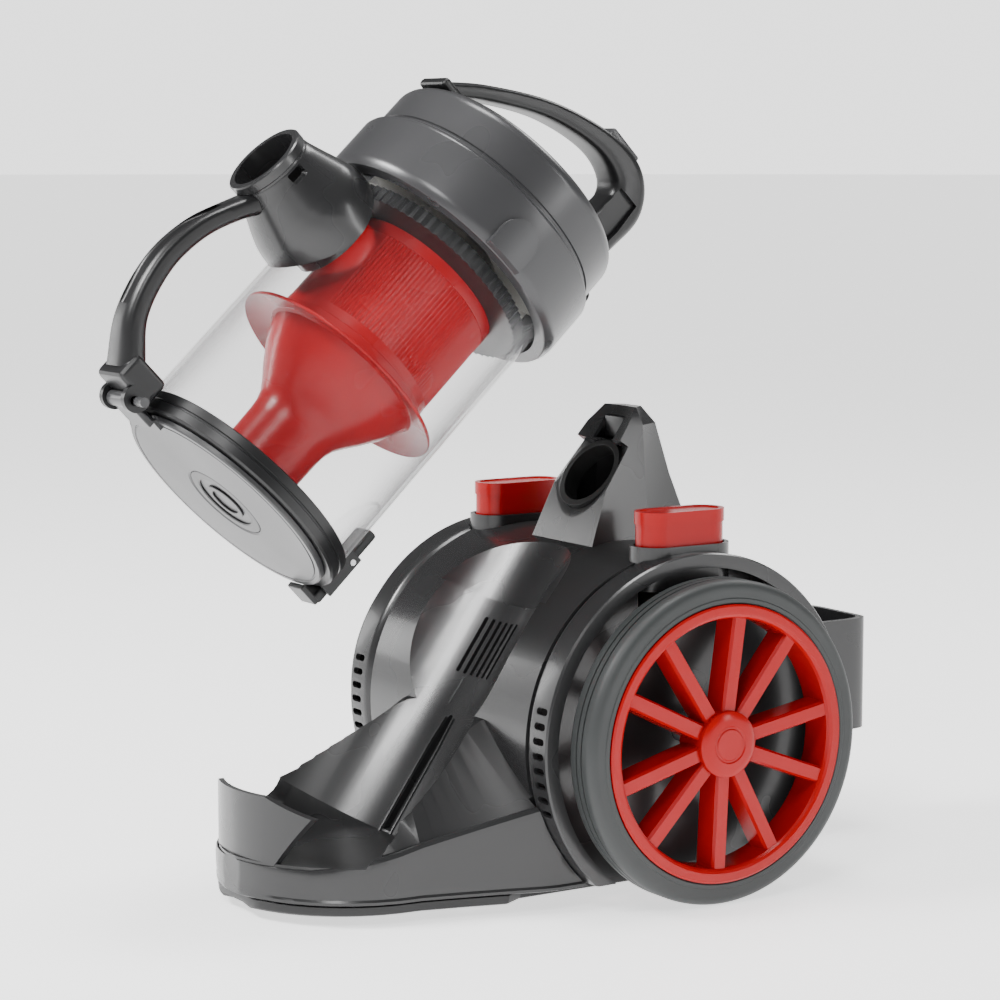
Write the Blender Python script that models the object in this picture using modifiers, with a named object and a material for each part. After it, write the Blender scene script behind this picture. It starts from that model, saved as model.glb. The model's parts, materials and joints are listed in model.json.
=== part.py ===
"""Canister vacuum cleaner: a wheeled base with its cradle, spine and drive parts, and the dust bin above it.

The base is drawn in millimetres with the wheel axle over its origin, +X to the cleaner's own left, the nose
towards -Y and the floor at Z = 0. The dust bin is drawn upright, its bottom at its own origin and its strap
handle towards -Y. Both hang from empties that put them in the shared frame, whose origin is under the middle
of the whole object.
"""

import math

import bmesh
import bpy
from mathutils import Matrix, Vector

MM = 0.001
GAP = 0.3
WALL = 2.5
FRAME_Y = 67.9

# Base body
WHEEL_R = 100.0
DRUM_R = 112.0
DRUM_HALF = 94.0
BODY_FLOOR = 13.0
NOSE_R = 85.0
NOSE_Y = -178.0
SKIRT_BACK = 107.0
STEP_FLOOR = 36.0
FENCE_TOP = 76.0

# Cradle: the trough's lowest line starts at its foot and rises at the docked bin's angle
DOCK_TILT = math.radians(55.0)
FOOT = Vector((0.0, -155.0, 36.0))
TROUGH_R = 89.0
RECESS_R = 93.0
RECESS_START = 152.0
RECESS_END = 274.0
HANDLE_ROOM_R = 86.0
BIN_SEAT = 12.0

# Spine and its port
PORT_S = 252.0
PORT_DEPTH = 89.0
PORT_RX = 27.0
PORT_RS = 25.0
CATCH_LOW = (-10.7, 15.5, 273.5)
CATCH_HIGH = (10.7, 19.5, 287.5)

# Side covers and wheels
COVER_X = 94.4
COVER_EDGE = 119.0
COVER_R = 113.4
TYRE_X = (121.5, 146.0)
RIM_R = 85.6
AXLE_R = 6.0
SPOKE_START = 48.6
SPOKE_SPREAD = 20.5

# Buttons on the shoulders
BUTTON_X = 93.0
BUTTON_Y = 1.0
BUTTON_SIZE = (27.0, 62.0)
BUTTON_TOP = 238.0
COLLAR_TOP = 217.0

# Front caster
CASTER_Y = -196.0
CASTER_R = 12.0
CASTER_TRAIL = 7.0

# Dust bin
LIFT_TILT = math.radians(43.5)
LIFT_BOTTOM = Vector((0.0, -261.2, 252.1))
BIN_R = 76.0
INLET_Z = 156.0
HINGE = Vector((0.0, -92.0, -6.5))
LATCH = Vector((0.0, 84.0, 26.0))
LID_TOP = 270.0


def clear_scene():
    for obj in list(bpy.data.objects):
        bpy.data.objects.remove(obj, do_unlink=True)


def material(name, color, roughness, metallic=0.0, transmission=0.0):
    made = bpy.data.materials.new(name)
    made.use_nodes = True
    shader = made.node_tree.nodes["Principled BSDF"]
    shader.inputs["Base Color"].default_value = (*color, 1.0)
    shader.inputs["Roughness"].default_value = roughness
    shader.inputs["Metallic"].default_value = metallic
    shader.inputs["Transmission Weight"].default_value = transmission
    return made


# ---------------------------------------------------------------------------
# Shape tools. Each returns an object whose mesh is in millimetres.
# ---------------------------------------------------------------------------


def from_bmesh(bm):
    bmesh.ops.recalc_face_normals(bm, faces=bm.faces)
    if bm.calc_volume(signed=True) < 0:
        bmesh.ops.reverse_faces(bm, faces=bm.faces)
    mesh = bpy.data.meshes.new("shape")
    bm.to_mesh(mesh)
    bm.free()
    shape = bpy.data.objects.new("shape", mesh)
    bpy.context.scene.collection.objects.link(shape)
    return shape


def baked(shape):
    """The shape as plain mesh, with its modifiers or its curve worked out."""
    graph = bpy.context.evaluated_depsgraph_get()
    mesh = bpy.data.meshes.new_from_object(shape.evaluated_get(graph))
    mesh.transform(shape.matrix_world)
    bpy.data.objects.remove(shape, do_unlink=True)
    bm = bmesh.new()
    bm.from_mesh(mesh)
    bpy.data.meshes.remove(mesh)
    bmesh.ops.remove_doubles(bm, verts=bm.verts, dist=0.0001)
    return from_bmesh(bm)


def moved(shape, offset=(0, 0, 0), turn=None):
    matrix = Matrix.Translation(Vector(offset))
    if turn is not None:
        matrix = matrix @ turn
    shape.data.transform(matrix)
    if matrix.determinant() < 0:
        shape.data.flip_normals()
    return shape


def block(low, high, bevel=0.0):
    bm = bmesh.new()
    bmesh.ops.create_cube(bm, size=1.0)
    low, high = Vector(low), Vector(high)
    size, middle = high - low, (high + low) / 2
    for vert in bm.verts:
        vert.co = Vector(a * b for a, b in zip(vert.co, size)) + middle
    if bevel:
        bmesh.ops.bevel(bm, geom=bm.edges, offset=bevel, segments=2, profile=0.5, affect="EDGES")
    return from_bmesh(bm)


def rod(radius, start, end, segments=24):
    bm = bmesh.new()
    start, end = Vector(start), Vector(end)
    bmesh.ops.create_cone(
        bm,
        cap_ends=True,
        segments=segments,
        radius1=radius,
        radius2=radius,
        depth=(end - start).length,
    )
    turn = (end - start).to_track_quat("Z", "Y").to_matrix().to_4x4()
    bm.transform(Matrix.Translation((start + end) / 2) @ turn)
    return from_bmesh(bm)


def turned(profile, segments=32, closed=True):
    """A profile of (radius, height) turned about Z."""
    mesh = bpy.data.meshes.new("profile")
    count = len(profile)
    edges = [(i, i + 1) for i in range(count - 1)]
    if closed:
        edges.append((count - 1, 0))
    mesh.from_pydata([(r, 0.0, z) for r, z in profile], edges, [])
    shape = bpy.data.objects.new("profile", mesh)
    bpy.context.scene.collection.objects.link(shape)
    screw = shape.modifiers.new("turn", "SCREW")
    screw.steps = segments
    screw.render_steps = segments
    screw.use_merge_vertices = True
    screw.merge_threshold = 0.0001
    return baked(shape)


def plate(outline, low, high):
    """A flat outline in X and Y, given thickness from low to high."""
    curve = bpy.data.curves.new("outline", "CURVE")
    curve.dimensions = "2D"
    curve.fill_mode = "BOTH"
    curve.extrude = (high - low) / 2
    spline = curve.splines.new("POLY")
    spline.points.add(len(outline) - 1)
    for point, (x, y) in zip(spline.points, outline):
        point.co = (x, y, 0.0, 1.0)
    spline.use_cyclic_u = True
    shape = bpy.data.objects.new("outline", curve)
    bpy.context.scene.collection.objects.link(shape)
    return moved(baked(shape), (0, 0, (high + low) / 2))


def wire(points, radius, sides=2):
    """A round bar along the points."""
    curve = bpy.data.curves.new("route", "CURVE")
    curve.dimensions = "3D"
    curve.bevel_depth = radius
    curve.bevel_resolution = sides
    curve.use_fill_caps = True
    spline = curve.splines.new("POLY")
    spline.points.add(len(points) - 1)
    for point, place in zip(spline.points, points):
        point.co = (*place, 1.0)
    shape = bpy.data.objects.new("route", curve)
    bpy.context.scene.collection.objects.link(shape)
    return baked(shape)


def smooth_path(points, steps):
    """Points along a smooth curve through the given ones."""
    points = [Vector(p) for p in points]
    ends = [2 * points[0] - points[1], *points, 2 * points[-1] - points[-2]]
    path = []
    for a, b, c, d in zip(ends, ends[1:], ends[2:], ends[3:]):
        for i in range(steps):
            t = i / steps
            bend = (2 * a - 5 * b + 4 * c - d) * t**2 + (3 * b - a - 3 * c + d) * t**3
            path.append(0.5 * (2 * b + (c - a) * t + bend))
    path.append(points[-1])
    return path


def loft(rings):
    """A solid through closed rings of the same number of points, capped at both ends."""
    bm = bmesh.new()
    loops = [[bm.verts.new(point) for point in ring] for ring in rings]
    for low, high in zip(loops, loops[1:]):
        for i in range(len(low)):
            j = (i + 1) % len(low)
            bm.faces.new((low[i], low[j], high[j], high[i]))
    bm.faces.new(loops[0])
    bm.faces.new(loops[-1])
    bent = [face for face in bm.faces if len(face.verts) == 4]
    bmesh.ops.triangulate(bm, faces=bent)
    return from_bmesh(bm)


def combined(first, second, operation):
    modifier = first.modifiers.new("boolean", "BOOLEAN")
    modifier.operation = operation
    modifier.solver = "EXACT"
    modifier.object = second
    made = baked(first)
    bpy.data.objects.remove(second, do_unlink=True)
    return made


def joined(first, *others):
    for other in others:
        first = combined(first, other, "UNION")
    return first


def cut(first, *others):
    for other in others:
        first = combined(first, other, "DIFFERENCE")
    return first


def kept(first, other):
    return combined(first, other, "INTERSECT")


def arc(radius, start, end, steps, centre=(0.0, 0.0)):
    angles = (math.radians(start + (end - start) * i / steps) for i in range(steps + 1))
    return [(centre[0] + radius * math.cos(a), centre[1] + radius * math.sin(a)) for a in angles]


def pill(width, length, steps=5):
    """A slot-shaped outline, its length along Y."""
    radius, straight = width / 2, (length - width) / 2
    return arc(radius, 0, 180, steps, (0, straight)) + arc(radius, 180, 360, steps, (0, -straight))


def ellipse(rx, ry, steps=24):
    turns = (2 * math.pi * i / steps for i in range(steps))
    return [(rx * math.cos(t), ry * math.sin(t)) for t in turns]


def piece(name, shape, look, parent, origin=(0.0, 0.0, 0.0)):
    """Names a shape drawn in its parent's millimetres, and puts its origin where it turns or slides."""
    origin = Vector(origin)
    shape.data.transform(Matrix.Scale(MM, 4) @ Matrix.Translation(-origin))
    shape.name = name
    shape.data.name = name
    shape.data.materials.clear()
    shape.data.materials.append(look)
    shape.parent = parent
    shape.location = origin * MM
    return shape


# ---------------------------------------------------------------------------
# Where the docked bin lies, for the cradle and the spine
# ---------------------------------------------------------------------------


def docked():
    """Turns the upright bin's frame into its docked place on the base."""
    along = Vector((0, math.cos(DOCK_TILT), math.sin(DOCK_TILT)))
    out = Vector((0, -math.sin(DOCK_TILT), math.cos(DOCK_TILT)))
    bottom = FOOT + BIN_SEAT * along + TROUGH_R * out
    return Matrix.Translation(bottom) @ Matrix.Rotation(DOCK_TILT - math.pi / 2, 4, "X")


# ---------------------------------------------------------------------------
# Base
# ---------------------------------------------------------------------------


def skirt_half(y):
    """Half width of the base at a distance along it."""
    if y < NOSE_Y:
        return math.sqrt(max(NOSE_R**2 - (y - NOSE_Y) ** 2, 0.0))
    share = min((y - NOSE_Y) / 78.0, 1.0)
    return NOSE_R + (SKIRT_BACK - NOSE_R) * share


def nose_stations(inset):
    reach = NOSE_R - 0.5 - inset
    front = [NOSE_Y - reach * math.sin(math.radians(a)) for a in (90, 78, 66, 54, 40, 25, 10)]
    return front + [-160.0, -140.0, -120.0, -100.0, -70.0]


def nose_section(y, inset):
    half = max(skirt_half(y) - inset, 3.0)
    edge = max(34.0, 93.0 + 0.25 * y) - inset
    ridge = min(max(36.0, 64.0 + 0.56 * (y + 196.0)), 112.0) - inset
    ridge = max(ridge, edge + 0.5)
    ridge_x = min(half - 2.0, max(46.0, 75.0 - 0.42 * (y + 196.0)))
    low = BODY_FLOOR - 6.0
    return [
        (-half + 2.0, y, low),
        (-half, y, edge),
        (-ridge_x, y, ridge),
        (ridge_x, y, ridge),
        (half, y, edge),
        (half - 2.0, y, low),
    ]


def nose_block(inset):
    return loft([nose_section(y, inset) for y in nose_stations(inset)])


def spine_block(inset):
    """The tower, through sections at rising heights: (height, front, back, half width)."""
    sections = ((150, -20, 92, 46), (208, -25, 64, 35), (250, -8, 48, 29), (283, 5, 39, 23), (294, 12, 30, 17))
    rings = []
    for height, front, back, half in sections:
        front, back, half = front + inset, back - inset, half - inset
        z = height - (inset if height > 290 else 0)
        rings.append(
            [
                (-half, front, z),
                (half, front, z),
                (half, (front + back) / 2, z),
                (half * 0.55, back, z),
                (-half * 0.55, back, z),
                (-half, (front + back) / 2, z),
            ]
        )
    return loft(rings)


def cradle_cutter(inset):
    """What the docked bin's room takes away: trough, lid recess and the open floor in front of the foot."""
    place = docked()
    trough = rod(TROUGH_R + inset, (0, 0, -BIN_SEAT), (0, 0, RECESS_END + inset), 48)
    recess = rod(RECESS_R + inset, (0, 0, RECESS_START - inset), (0, 0, RECESS_END + inset), 48)
    handle_room = rod(HANDLE_ROOM_R + inset, (0, 0, RECESS_END - 5.0), (0, 0, 330), 48)
    trough = moved(joined(trough, recess, handle_room), (0, 0, 0), place)
    lip = [
        (
            TROUGH_R * math.sin(math.radians(a)),
            FOOT.y - math.sin(DOCK_TILT) * TROUGH_R * (1 - math.cos(math.radians(a))) + inset,
        )
        for a in range(-56, 57, 8)
    ]
    rings = []
    for height, forward in ((STEP_FLOOR - inset, 30.0), (STEP_FLOOR + 5.0, 20.0), (64.0, 4.0), (160.0, 4.0)):
        start = lip[-1][1] - forward
        outline = [*lip, (78, start), (120, start), (120, -330), (-120, -330), (-120, start), (-78, start)]
        rings.append([(x, y, height) for x, y in outline])
    return joined(trough, loft(rings))


def collar_outline(margin):
    width, length = BUTTON_SIZE
    return pill(width + 2 * margin, length + 2 * margin)


def body_block(inset):
    """The whole upper body as a solid, shrunk by the inset on every side."""
    drum = rod(DRUM_R - inset, (-DRUM_HALF + inset, 0, WHEEL_R), (DRUM_HALF - inset, 0, WHEEL_R), 48)
    body = joined(drum, nose_block(inset), spine_block(inset))
    for side in (-1, 1):
        near, far = side * (COVER_X - inset), side * 140.0
        body = cut(body, rod(COVER_R + 0.6 + inset, (near, 0, WHEEL_R), (far, 0, WHEEL_R), 48))
    return cut(body, cradle_cutter(inset))


def fence_shape():
    """The curved wall that stands on the nose, level in the middle and with its ends cut back at the foot."""
    outer = arc(NOSE_R - 2.0, 222, 318, 24, (0, NOSE_Y))
    inner = arc(NOSE_R - 5.5, 318, 222, 24, (0, NOSE_Y))
    ring = plate(outer + inner, STEP_FLOOR - 4.0, FENCE_TOP)
    front = [(-33, 30), (33, 30), (57, 65), (30, FENCE_TOP), (-30, FENCE_TOP), (-57, 65)]
    # The outline's Y becomes the height.
    return kept(ring, moved(plate(front, 200.0, 300.0), (0, 0, 0), Matrix.Rotation(math.radians(90), 4, "X")))


def upper_housing():
    body = body_block(0.0)
    for side in (-1, 1):
        collar = plate(collar_outline(3.0), 190.0, COLLAR_TOP)
        body = joined(body, moved(collar, (side * BUTTON_X, BUTTON_Y, 0)))
    inside = cut(body_block(WALL), latch_groove(WALL))
    cavity_floor = block((-100, -240, -40), (100, 100, BODY_FLOOR))
    body = cut(body, inside, block((-200, -320, -60), (200, 240, BODY_FLOOR)), cavity_floor)
    body = joined(body, fence_shape())
    for side in (-1, 1):
        well = plate(collar_outline(0.4), 150.0, COLLAR_TOP + 1)
        body = cut(body, moved(well, (side * BUTTON_X, BUTTON_Y, 0)))
    body = cut(body, *grille_slots(), port_cutter(0.0), catch_window(), latch_groove(0.0), exhaust_window(0.0))
    body = cut(body, rod(7.3, (-55, 80, 112), (-55, 140, 112), 20))
    for side in (-1, 1):
        body = cut(body, rod(AXLE_R + GAP, (side * 80, 0, WHEEL_R), (side * 120, 0, WHEEL_R), 16))
    return body


def grille_slots():
    slots = []
    for i in range(6):
        x = -17.5 + 7.0 * i
        slot = block((x - 1.6, TROUGH_R - 12, 100), (x + 1.6, TROUGH_R + 14, 140))
        slots.append(moved(slot, (0, 0, 0), docked()))
    return slots


def latch_groove(margin):
    """A narrow channel up the trough's lowest line, closed at its top."""
    rings = []
    for s, half, depth in ((-20.0, 5.5, 4.0), (50.0, 5.0, 4.0), (72.0 + margin, 3.0, 3.0)):
        half, far = half + margin, TROUGH_R + depth + margin
        rings.append([(-half, 80, s), (half, 80, s), (half, far, s), (-half, far, s)])
    above_floor = block((-40, -240, STEP_FLOOR + 1.0 - margin), (40, 60, 200))
    return kept(moved(loft(rings), (0, 0, 0), docked()), above_floor)


def port_shape(margin, near, far):
    tube = plate(ellipse(PORT_RX + margin, PORT_RS + margin), -far, -near)
    # The outline's own X and Y become the bin's X and Z, so the tube points out of the spine's face.
    turn = Matrix.Rotation(math.radians(90), 4, "X")
    return moved(moved(tube, (0, 0, PORT_S), turn), (0, 0, 0), docked())


def port_cutter(margin):
    return port_shape(margin, PORT_DEPTH - 20.0, PORT_DEPTH + 22.0)


def port_seal():
    """A soft oval lip round the spine's port."""
    ring = port_shape(-GAP, PORT_DEPTH, PORT_DEPTH + 12.0)
    return cut(ring, port_shape(-4.5, PORT_DEPTH - 5.0, PORT_DEPTH + 30.0))


def catch_window():
    """The opening near the spine's top, with the catch across its back."""
    low, high = Vector(CATCH_LOW), Vector(CATCH_HIGH)
    return block((low.x - GAP, -30, low.z - GAP), (high.x + GAP, high.y + GAP, high.z + GAP))


def exhaust_sector(margin, low, high):
    outline = arc(high, 24 - margin, 56 + margin, 8) + arc(low, 56 + margin, 24 - margin, 8)
    shape = plate(outline, -52.0 - margin * 2, 52.0 + margin * 2)
    # The outline's X becomes the base's Y and its Y the height.
    turn = Matrix(((0, 0, 1, 0), (1, 0, 0, 0), (0, 1, 0, 0), (0, 0, 0, 1)))
    return moved(shape, (0, 0, WHEEL_R), turn)


def exhaust_window(margin):
    return exhaust_sector(margin, 80.0, 130.0)


def exhaust_grille():
    grille = exhaust_sector(-0.2, DRUM_R - 2.2, DRUM_R - 0.2)
    for i in range(5):
        angle = math.radians(29.0 + 5.5 * i)
        centre = Vector((0, DRUM_R * math.cos(angle), WHEEL_R + DRUM_R * math.sin(angle)))
        for middle in (-24.5, 24.5):
            slot = block((middle - 21, -1.9, -9), (middle + 21, 1.9, 9))
            grille = cut(grille, moved(slot, centre, Matrix.Rotation(angle - math.pi / 2, 4, "X")))
    return grille


def build_base_shells(root, looks):
    piece("upper_housing", upper_housing(), looks["housing"], root)
    pan = chassis_pan()
    piece("chassis_pan", pan, looks["black"], root)
    piece("spine_port_seal", port_seal(), looks["rubber"], root)
    piece("bin_catch", block(CATCH_LOW, CATCH_HIGH), looks["black"], root)
    piece("exhaust_grille", exhaust_grille(), looks["black"], root)
    filter_block = moved(
        block((-50, -10, -27), (34, 4, 27), 1.0), (0, 72.8, 161), Matrix.Rotation(math.radians(40), 4, "X")
    )
    piece("exhaust_filter", filter_block, looks["filter"], root)
    for side, name in ((1, "left"), (-1, "right")):
        piece(f"arch_cover_{name}", arch_cover(side), looks["housing"], root)
    piece("parking_bracket", parking_bracket(), looks["housing"], root)
    piece("cord_outlet", cord_outlet(), looks["rubber"], root)


def pan_outline(margin):
    """The pan's edge: round the nose, back along the skirt, in behind the wheels."""
    half = [(skirt_half(y) - margin, y) for y in (-255, -240, -220, -200, -178, -150, -125)]
    half = [(6.0, NOSE_Y - NOSE_R + margin + 0.6)] + half + [(92.0 - margin, -112.0), (92.0 - margin, 69.0)]
    return half + [(-x, y) for x, y in reversed(half)]


def chassis_pan():
    outside = ((6.0, 6.0), (3.2, 9.0), (3.0, BODY_FLOOR - GAP))
    inside = ((9.0, 9.0), (6.5, 20.0))
    pan, hollow = (
        loft([[(x, y, z) for x, y in pan_outline(edge)] for edge, z in rings]) for rings in (outside, inside)
    )
    pan = cut(pan, hollow)
    pan = cut(pan, rod(25.0, (0, CASTER_Y, 0.0), (0, CASTER_Y, 12.0), 32))
    pan = joined(pan, caster_cup())
    for x, y in screw_places():
        pan = joined(pan, rod(7.0, (x, y, 6.6), (x, y, 11.5), 16))
        pan = cut(pan, rod(2.6, (x, y, 0), (x, y, 20), 12), rod(5.0, (x, y, 0), (x, y, 9.2), 16))
    return pan


def caster_cup():
    """The inverted cup in the pan that the caster turns in, with a hole for its kingpin."""
    cup = turned(
        [(3.4, 32.0), (27.0, 32.0), (29.0, 30.0), (29.0, 6.0), (24.0, 6.0), (24.0, 29.0), (3.4, 29.0)], 32
    )
    return moved(cup, (0, CASTER_Y, 0))


def screw_places():
    return [(x, y) for y in (-140.0, 50.0) for x in (-70.0, 70.0)]


def arch_cover(side):
    """A dish beside the body that the wheel turns in, with vents in the front of its rim."""
    low, high = COVER_X, COVER_EDGE
    dish = turned(
        [
            (COVER_R, high),
            (COVER_R, low + 5.0),
            (COVER_R - 4.0, low),
            (AXLE_R + GAP, low),
            (AXLE_R + GAP, low + WALL),
            (COVER_R - 5.0, low + WALL),
            (COVER_R - 3.0, low + 7.0),
            (COVER_R - 3.0, high - 2.0),
            (COVER_R - 9.0, high - 2.0),
            (COVER_R - 9.0, high),
        ],
        48,
    )
    dish = moved(dish, (0, 0, WHEEL_R), Matrix.Rotation(math.radians(90), 4, "Y"))
    dish = cut(dish, block((80, -130, -40), (130, 130, 16)))
    dish = cut(dish, moved(plate(collar_outline(3.6), 170.0, 240.0), (BUTTON_X, BUTTON_Y, 0)))
    for i in range(8):
        angle = math.radians(180 - 13 + 4.6 * i)
        centre = Vector((110.5, COVER_R * math.cos(angle), WHEEL_R + COVER_R * math.sin(angle)))
        slot = moved(block((-5, -2.2, -8), (5, 2.2, 8)), centre, Matrix.Rotation(angle - math.pi / 2, 4, "X"))
        dish = cut(dish, slot)
    if side < 0:
        dish = moved(dish, (0, 0, 0), Matrix.Scale(-1, 4, (1, 0, 0)))
    return dish


def parking_bracket():
    shape = block((-34, 100, 70), (34, 203, 145), 1.5)
    shape = cut(shape, rod(DRUM_R + GAP, (-60, 0, WHEEL_R), (60, 0, WHEEL_R), 48))
    return cut(shape, block((-30, 116, 76), (30, 199, 160)))


def cord_outlet():
    """A rubber grommet in the back wall that the mains cord would run out of."""
    ring = turned([(11.0, 6.0), (11.0, 2.0), (6.9, 2.0), (6.9, -6.0), (4.0, -6.0), (4.0, 6.0)], 20)
    turn = Matrix.Rotation(math.radians(-90), 4, "X")
    return moved(ring, (-55, 112.5, 112), turn)


def build_drive(root, looks):
    shell = [(52, 48), (52, -42), (47, -48), (16, -48)]
    shell += [(16, -45), (44, -45), (49, -40), (49, 45), (14, 45), (14, 48)]
    can = turned(shell, 32)
    turn = Matrix.Rotation(math.radians(90), 4, "X")
    centre = Vector((-34, 14, 74))
    piece("motor_housing", moved(can, centre, turn), looks["steel"], root)
    for name, offset in (("front", -36.0), ("rear", 36.0)):
        ring = turned([(57, 5), (57, -5), (52.4, -5), (52.4, 5)], 32)
        piece(f"motor_mount_{name}", moved(ring, centre + Vector((0, offset, 0)), turn), looks["rubber"], root)
    shaft = joined(
        rod(4.0, centre - Vector((0, 43, 0)), centre + Vector((0, 43, 0)), 12),
        rod(24.0, centre + Vector((0, -8, 0)), centre + Vector((0, 30, 0)), 20),
    )
    piece("motor_rotor", shaft, looks["copper"], root, centre)
    fan = turned([(43, 4), (43, -4), (8, -8), (4.3, -8), (4.3, 8), (12, 8)], 24)
    piece("motor_fan", moved(fan, centre + Vector((0, -26, 0)), turn), looks["metal"], root, centre)
    duct = wire(smooth_path([(0, 22, 236), (0, 26, 205), (-9, 10, 172), (-26, -18, 154)], 4), 18.0, 3)
    bore = wire(smooth_path([(0, 22, 240), (0, 26, 205), (-9, 10, 172), (-28, -22, 151)], 4), 15.5, 3)
    piece("suction_duct", cut(duct, bore), looks["black"], root)
    reel = Vector((56, 14, 86))
    drum = turned([(66, 17), (66, 15), (28, 15), (28, -15), (66, -15), (66, -17), (9, -17), (9, 17)], 32)
    side_turn = Matrix.Rotation(math.radians(90), 4, "Y")
    piece("cord_reel", moved(drum, reel, side_turn), looks["black"], root, reel)
    spindle = rod(8.6, reel - Vector((22, 0, 0)), reel + Vector((22, 0, 0)), 20)
    piece("reel_spindle", spindle, looks["steel"], root)
    piece("power_switch", block((84, -12, 152), (90, 14, 172), 1.0), looks["black"], root)


def build_buttons(root, looks):
    for side, name in ((1, "power"), (-1, "rewind")):
        x = side * BUTTON_X
        cap = plate(collar_outline(0.0), COLLAR_TOP - 7.0, BUTTON_TOP)
        cap = joined(cap, block((-4, -4, 186), (4, 4, COLLAR_TOP - 6)))
        origin = (x, BUTTON_Y, COLLAR_TOP)
        piece(f"{name}_button", moved(cap, (x, BUTTON_Y, 0)), looks["red"], root, origin)
        turns = [
            (
                x + 8.0 * math.cos(2 * math.pi * i / 8),
                BUTTON_Y + 8.0 * math.sin(2 * math.pi * i / 8),
                186.5 + 19.0 * i / 32,
            )
            for i in range(33)
        ]
        piece(f"{name}_button_spring", wire(turns, 0.7, 1), looks["steel"], root, origin)


def wheel_pieces(side):
    """Tyre, spoked rim, bushing and hub cap of one road wheel, turned about its own axle along Z."""
    low, high = TYRE_X
    tyre = [(WHEEL_R, low + 5), (WHEEL_R - 3.5, low), (RIM_R + 2.5, low), (RIM_R + GAP, low + 2.5)]
    tyre += [(RIM_R + GAP, high + 0.6), (WHEEL_R - 5, high), (WHEEL_R, high - 6)]
    tyre = turned(tyre[::-1], 40)
    ring = turned([(RIM_R, 147.7), (RIM_R, low + 2.6), (77.0, low + 2.6), (77.0, 145.0), (79.0, 147.7)], 40)
    hub = turned([(20, 145.5), (20, low + 2.6), (9.3, low + 2.6), (9.3, 145.5)], 32)
    rim = joined(ring, hub)
    for i in range(5):
        middle = 72.0 * i + SPOKE_START
        for lean in (-1, 1):
            inner = polar(17.0, middle + lean * 20.0)
            outer = polar(79.0, middle + lean * SPOKE_SPREAD)
            rim = joined(rim, spoke(inner, outer, 4.7, 128.0, 144.0))
    bushing = turned([(9.0, 145.0), (9.0, low + 3), (AXLE_R + 0.15, low + 3), (AXLE_R + 0.15, 145.0)], 24)
    cap = turned([(0, 149.6), (16, 149.0), (20.5, 147.4), (20.5, 145.8), (0, 145.8)], 32, closed=False)
    made = {"tyre": tyre, "rim": rim, "bushing": bushing, "hub_cap": cap}
    turn = Matrix.Rotation(math.radians(90), 4, "Y")
    for shape in made.values():
        moved(shape, (0, 0, WHEEL_R), turn)
        if side < 0:
            moved(shape, (0, 0, 0), Matrix.Scale(-1, 4, (1, 0, 0)))
    return made


def polar(radius, angle):
    return Vector((radius * math.cos(math.radians(angle)), radius * math.sin(math.radians(angle)), 0))


def spoke(inner, outer, half, low, high):
    side = Vector((0, 0, 1)).cross((outer - inner).normalized()) * half
    foot = [inner - side, outer - side, outer + side, inner + side]
    return loft([[p + Vector((0, 0, z)) for p in foot] for z in (low, high)])


def build_wheels(root, looks):
    for side, name in ((1, "left"), (-1, "right")):
        colours = {"tyre": "tyre", "rim": "red", "bushing": "steel", "hub_cap": "red"}
        origin = (side * 134.0, 0, WHEEL_R)
        for kind, shape in wheel_pieces(side).items():
            piece(f"{name}_wheel_{kind}", shape, looks[colours[kind]], root, origin)
        shaft = rod(AXLE_R, (side * 86, 0, WHEEL_R), (side * 143, 0, WHEEL_R), 24)
        piece(f"{name}_axle_shaft", shaft, looks["steel"], root)


def build_caster(root, looks):
    wheel_y, z = CASTER_Y + CASTER_TRAIL, CASTER_R
    fork = joined(
        rod(3.0, (0, CASTER_Y, 25.6), (0, CASTER_Y, 31.0), 16),
        block((-11, wheel_y - 12, 25.3), (11, wheel_y + 9, 28.0)),
        block((-11, wheel_y - 5, 7.0), (-8, wheel_y + 5, 26.0)),
        block((8, wheel_y - 5, 7.0), (11, wheel_y + 5, 26.0)),
    )
    fork = cut(fork, rod(2.3, (-20, wheel_y, z), (20, wheel_y, z), 12))
    kingpin = (0, CASTER_Y, 24.0)
    piece("caster_fork", fork, looks["black"], root, kingpin)
    axle = rod(2.0, (-10.8, wheel_y, z), (10.8, wheel_y, z), 12)
    piece("caster_axle", axle, looks["steel"], root, kingpin)
    wheel = turned([(CASTER_R, 6.0), (CASTER_R, -6.0), (10.5, -7.5), (2.4, -7.5), (2.4, 7.5), (10.5, 7.5)], 32)
    turn = Matrix.Rotation(math.radians(90), 4, "Y")
    piece("caster_wheel", moved(wheel, (0, wheel_y, z), turn), looks["tyre"], root, (0, wheel_y, z))


def build_screws(root, looks):
    for i, (x, y) in enumerate(screw_places()):
        screw = joined(rod(2.2, (x, y, 7.5), (x, y, 12.5), 12), rod(4.4, (x, y, 6.5), (x, y, 8.9), 16))
        piece(f"chassis_screw_{i + 1}", screw, looks["steel"], root)


# ---------------------------------------------------------------------------
# Dust bin, drawn upright
# ---------------------------------------------------------------------------


def spout(margin):
    """The inlet's outside: flared where it meets the bin's wall, round at its mouth."""
    outside = ((26, 128), (27, 117), (31, 106), (35.5, 95), (38.5, 84), (39, 60))
    profile = [(0, 128)] + [(radius + margin, out) for radius, out in outside] + [(0, 60)]
    return moved(turned(profile, 32, closed=False), (0, 0, INLET_Z), Matrix.Rotation(math.radians(90), 4, "X"))


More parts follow.
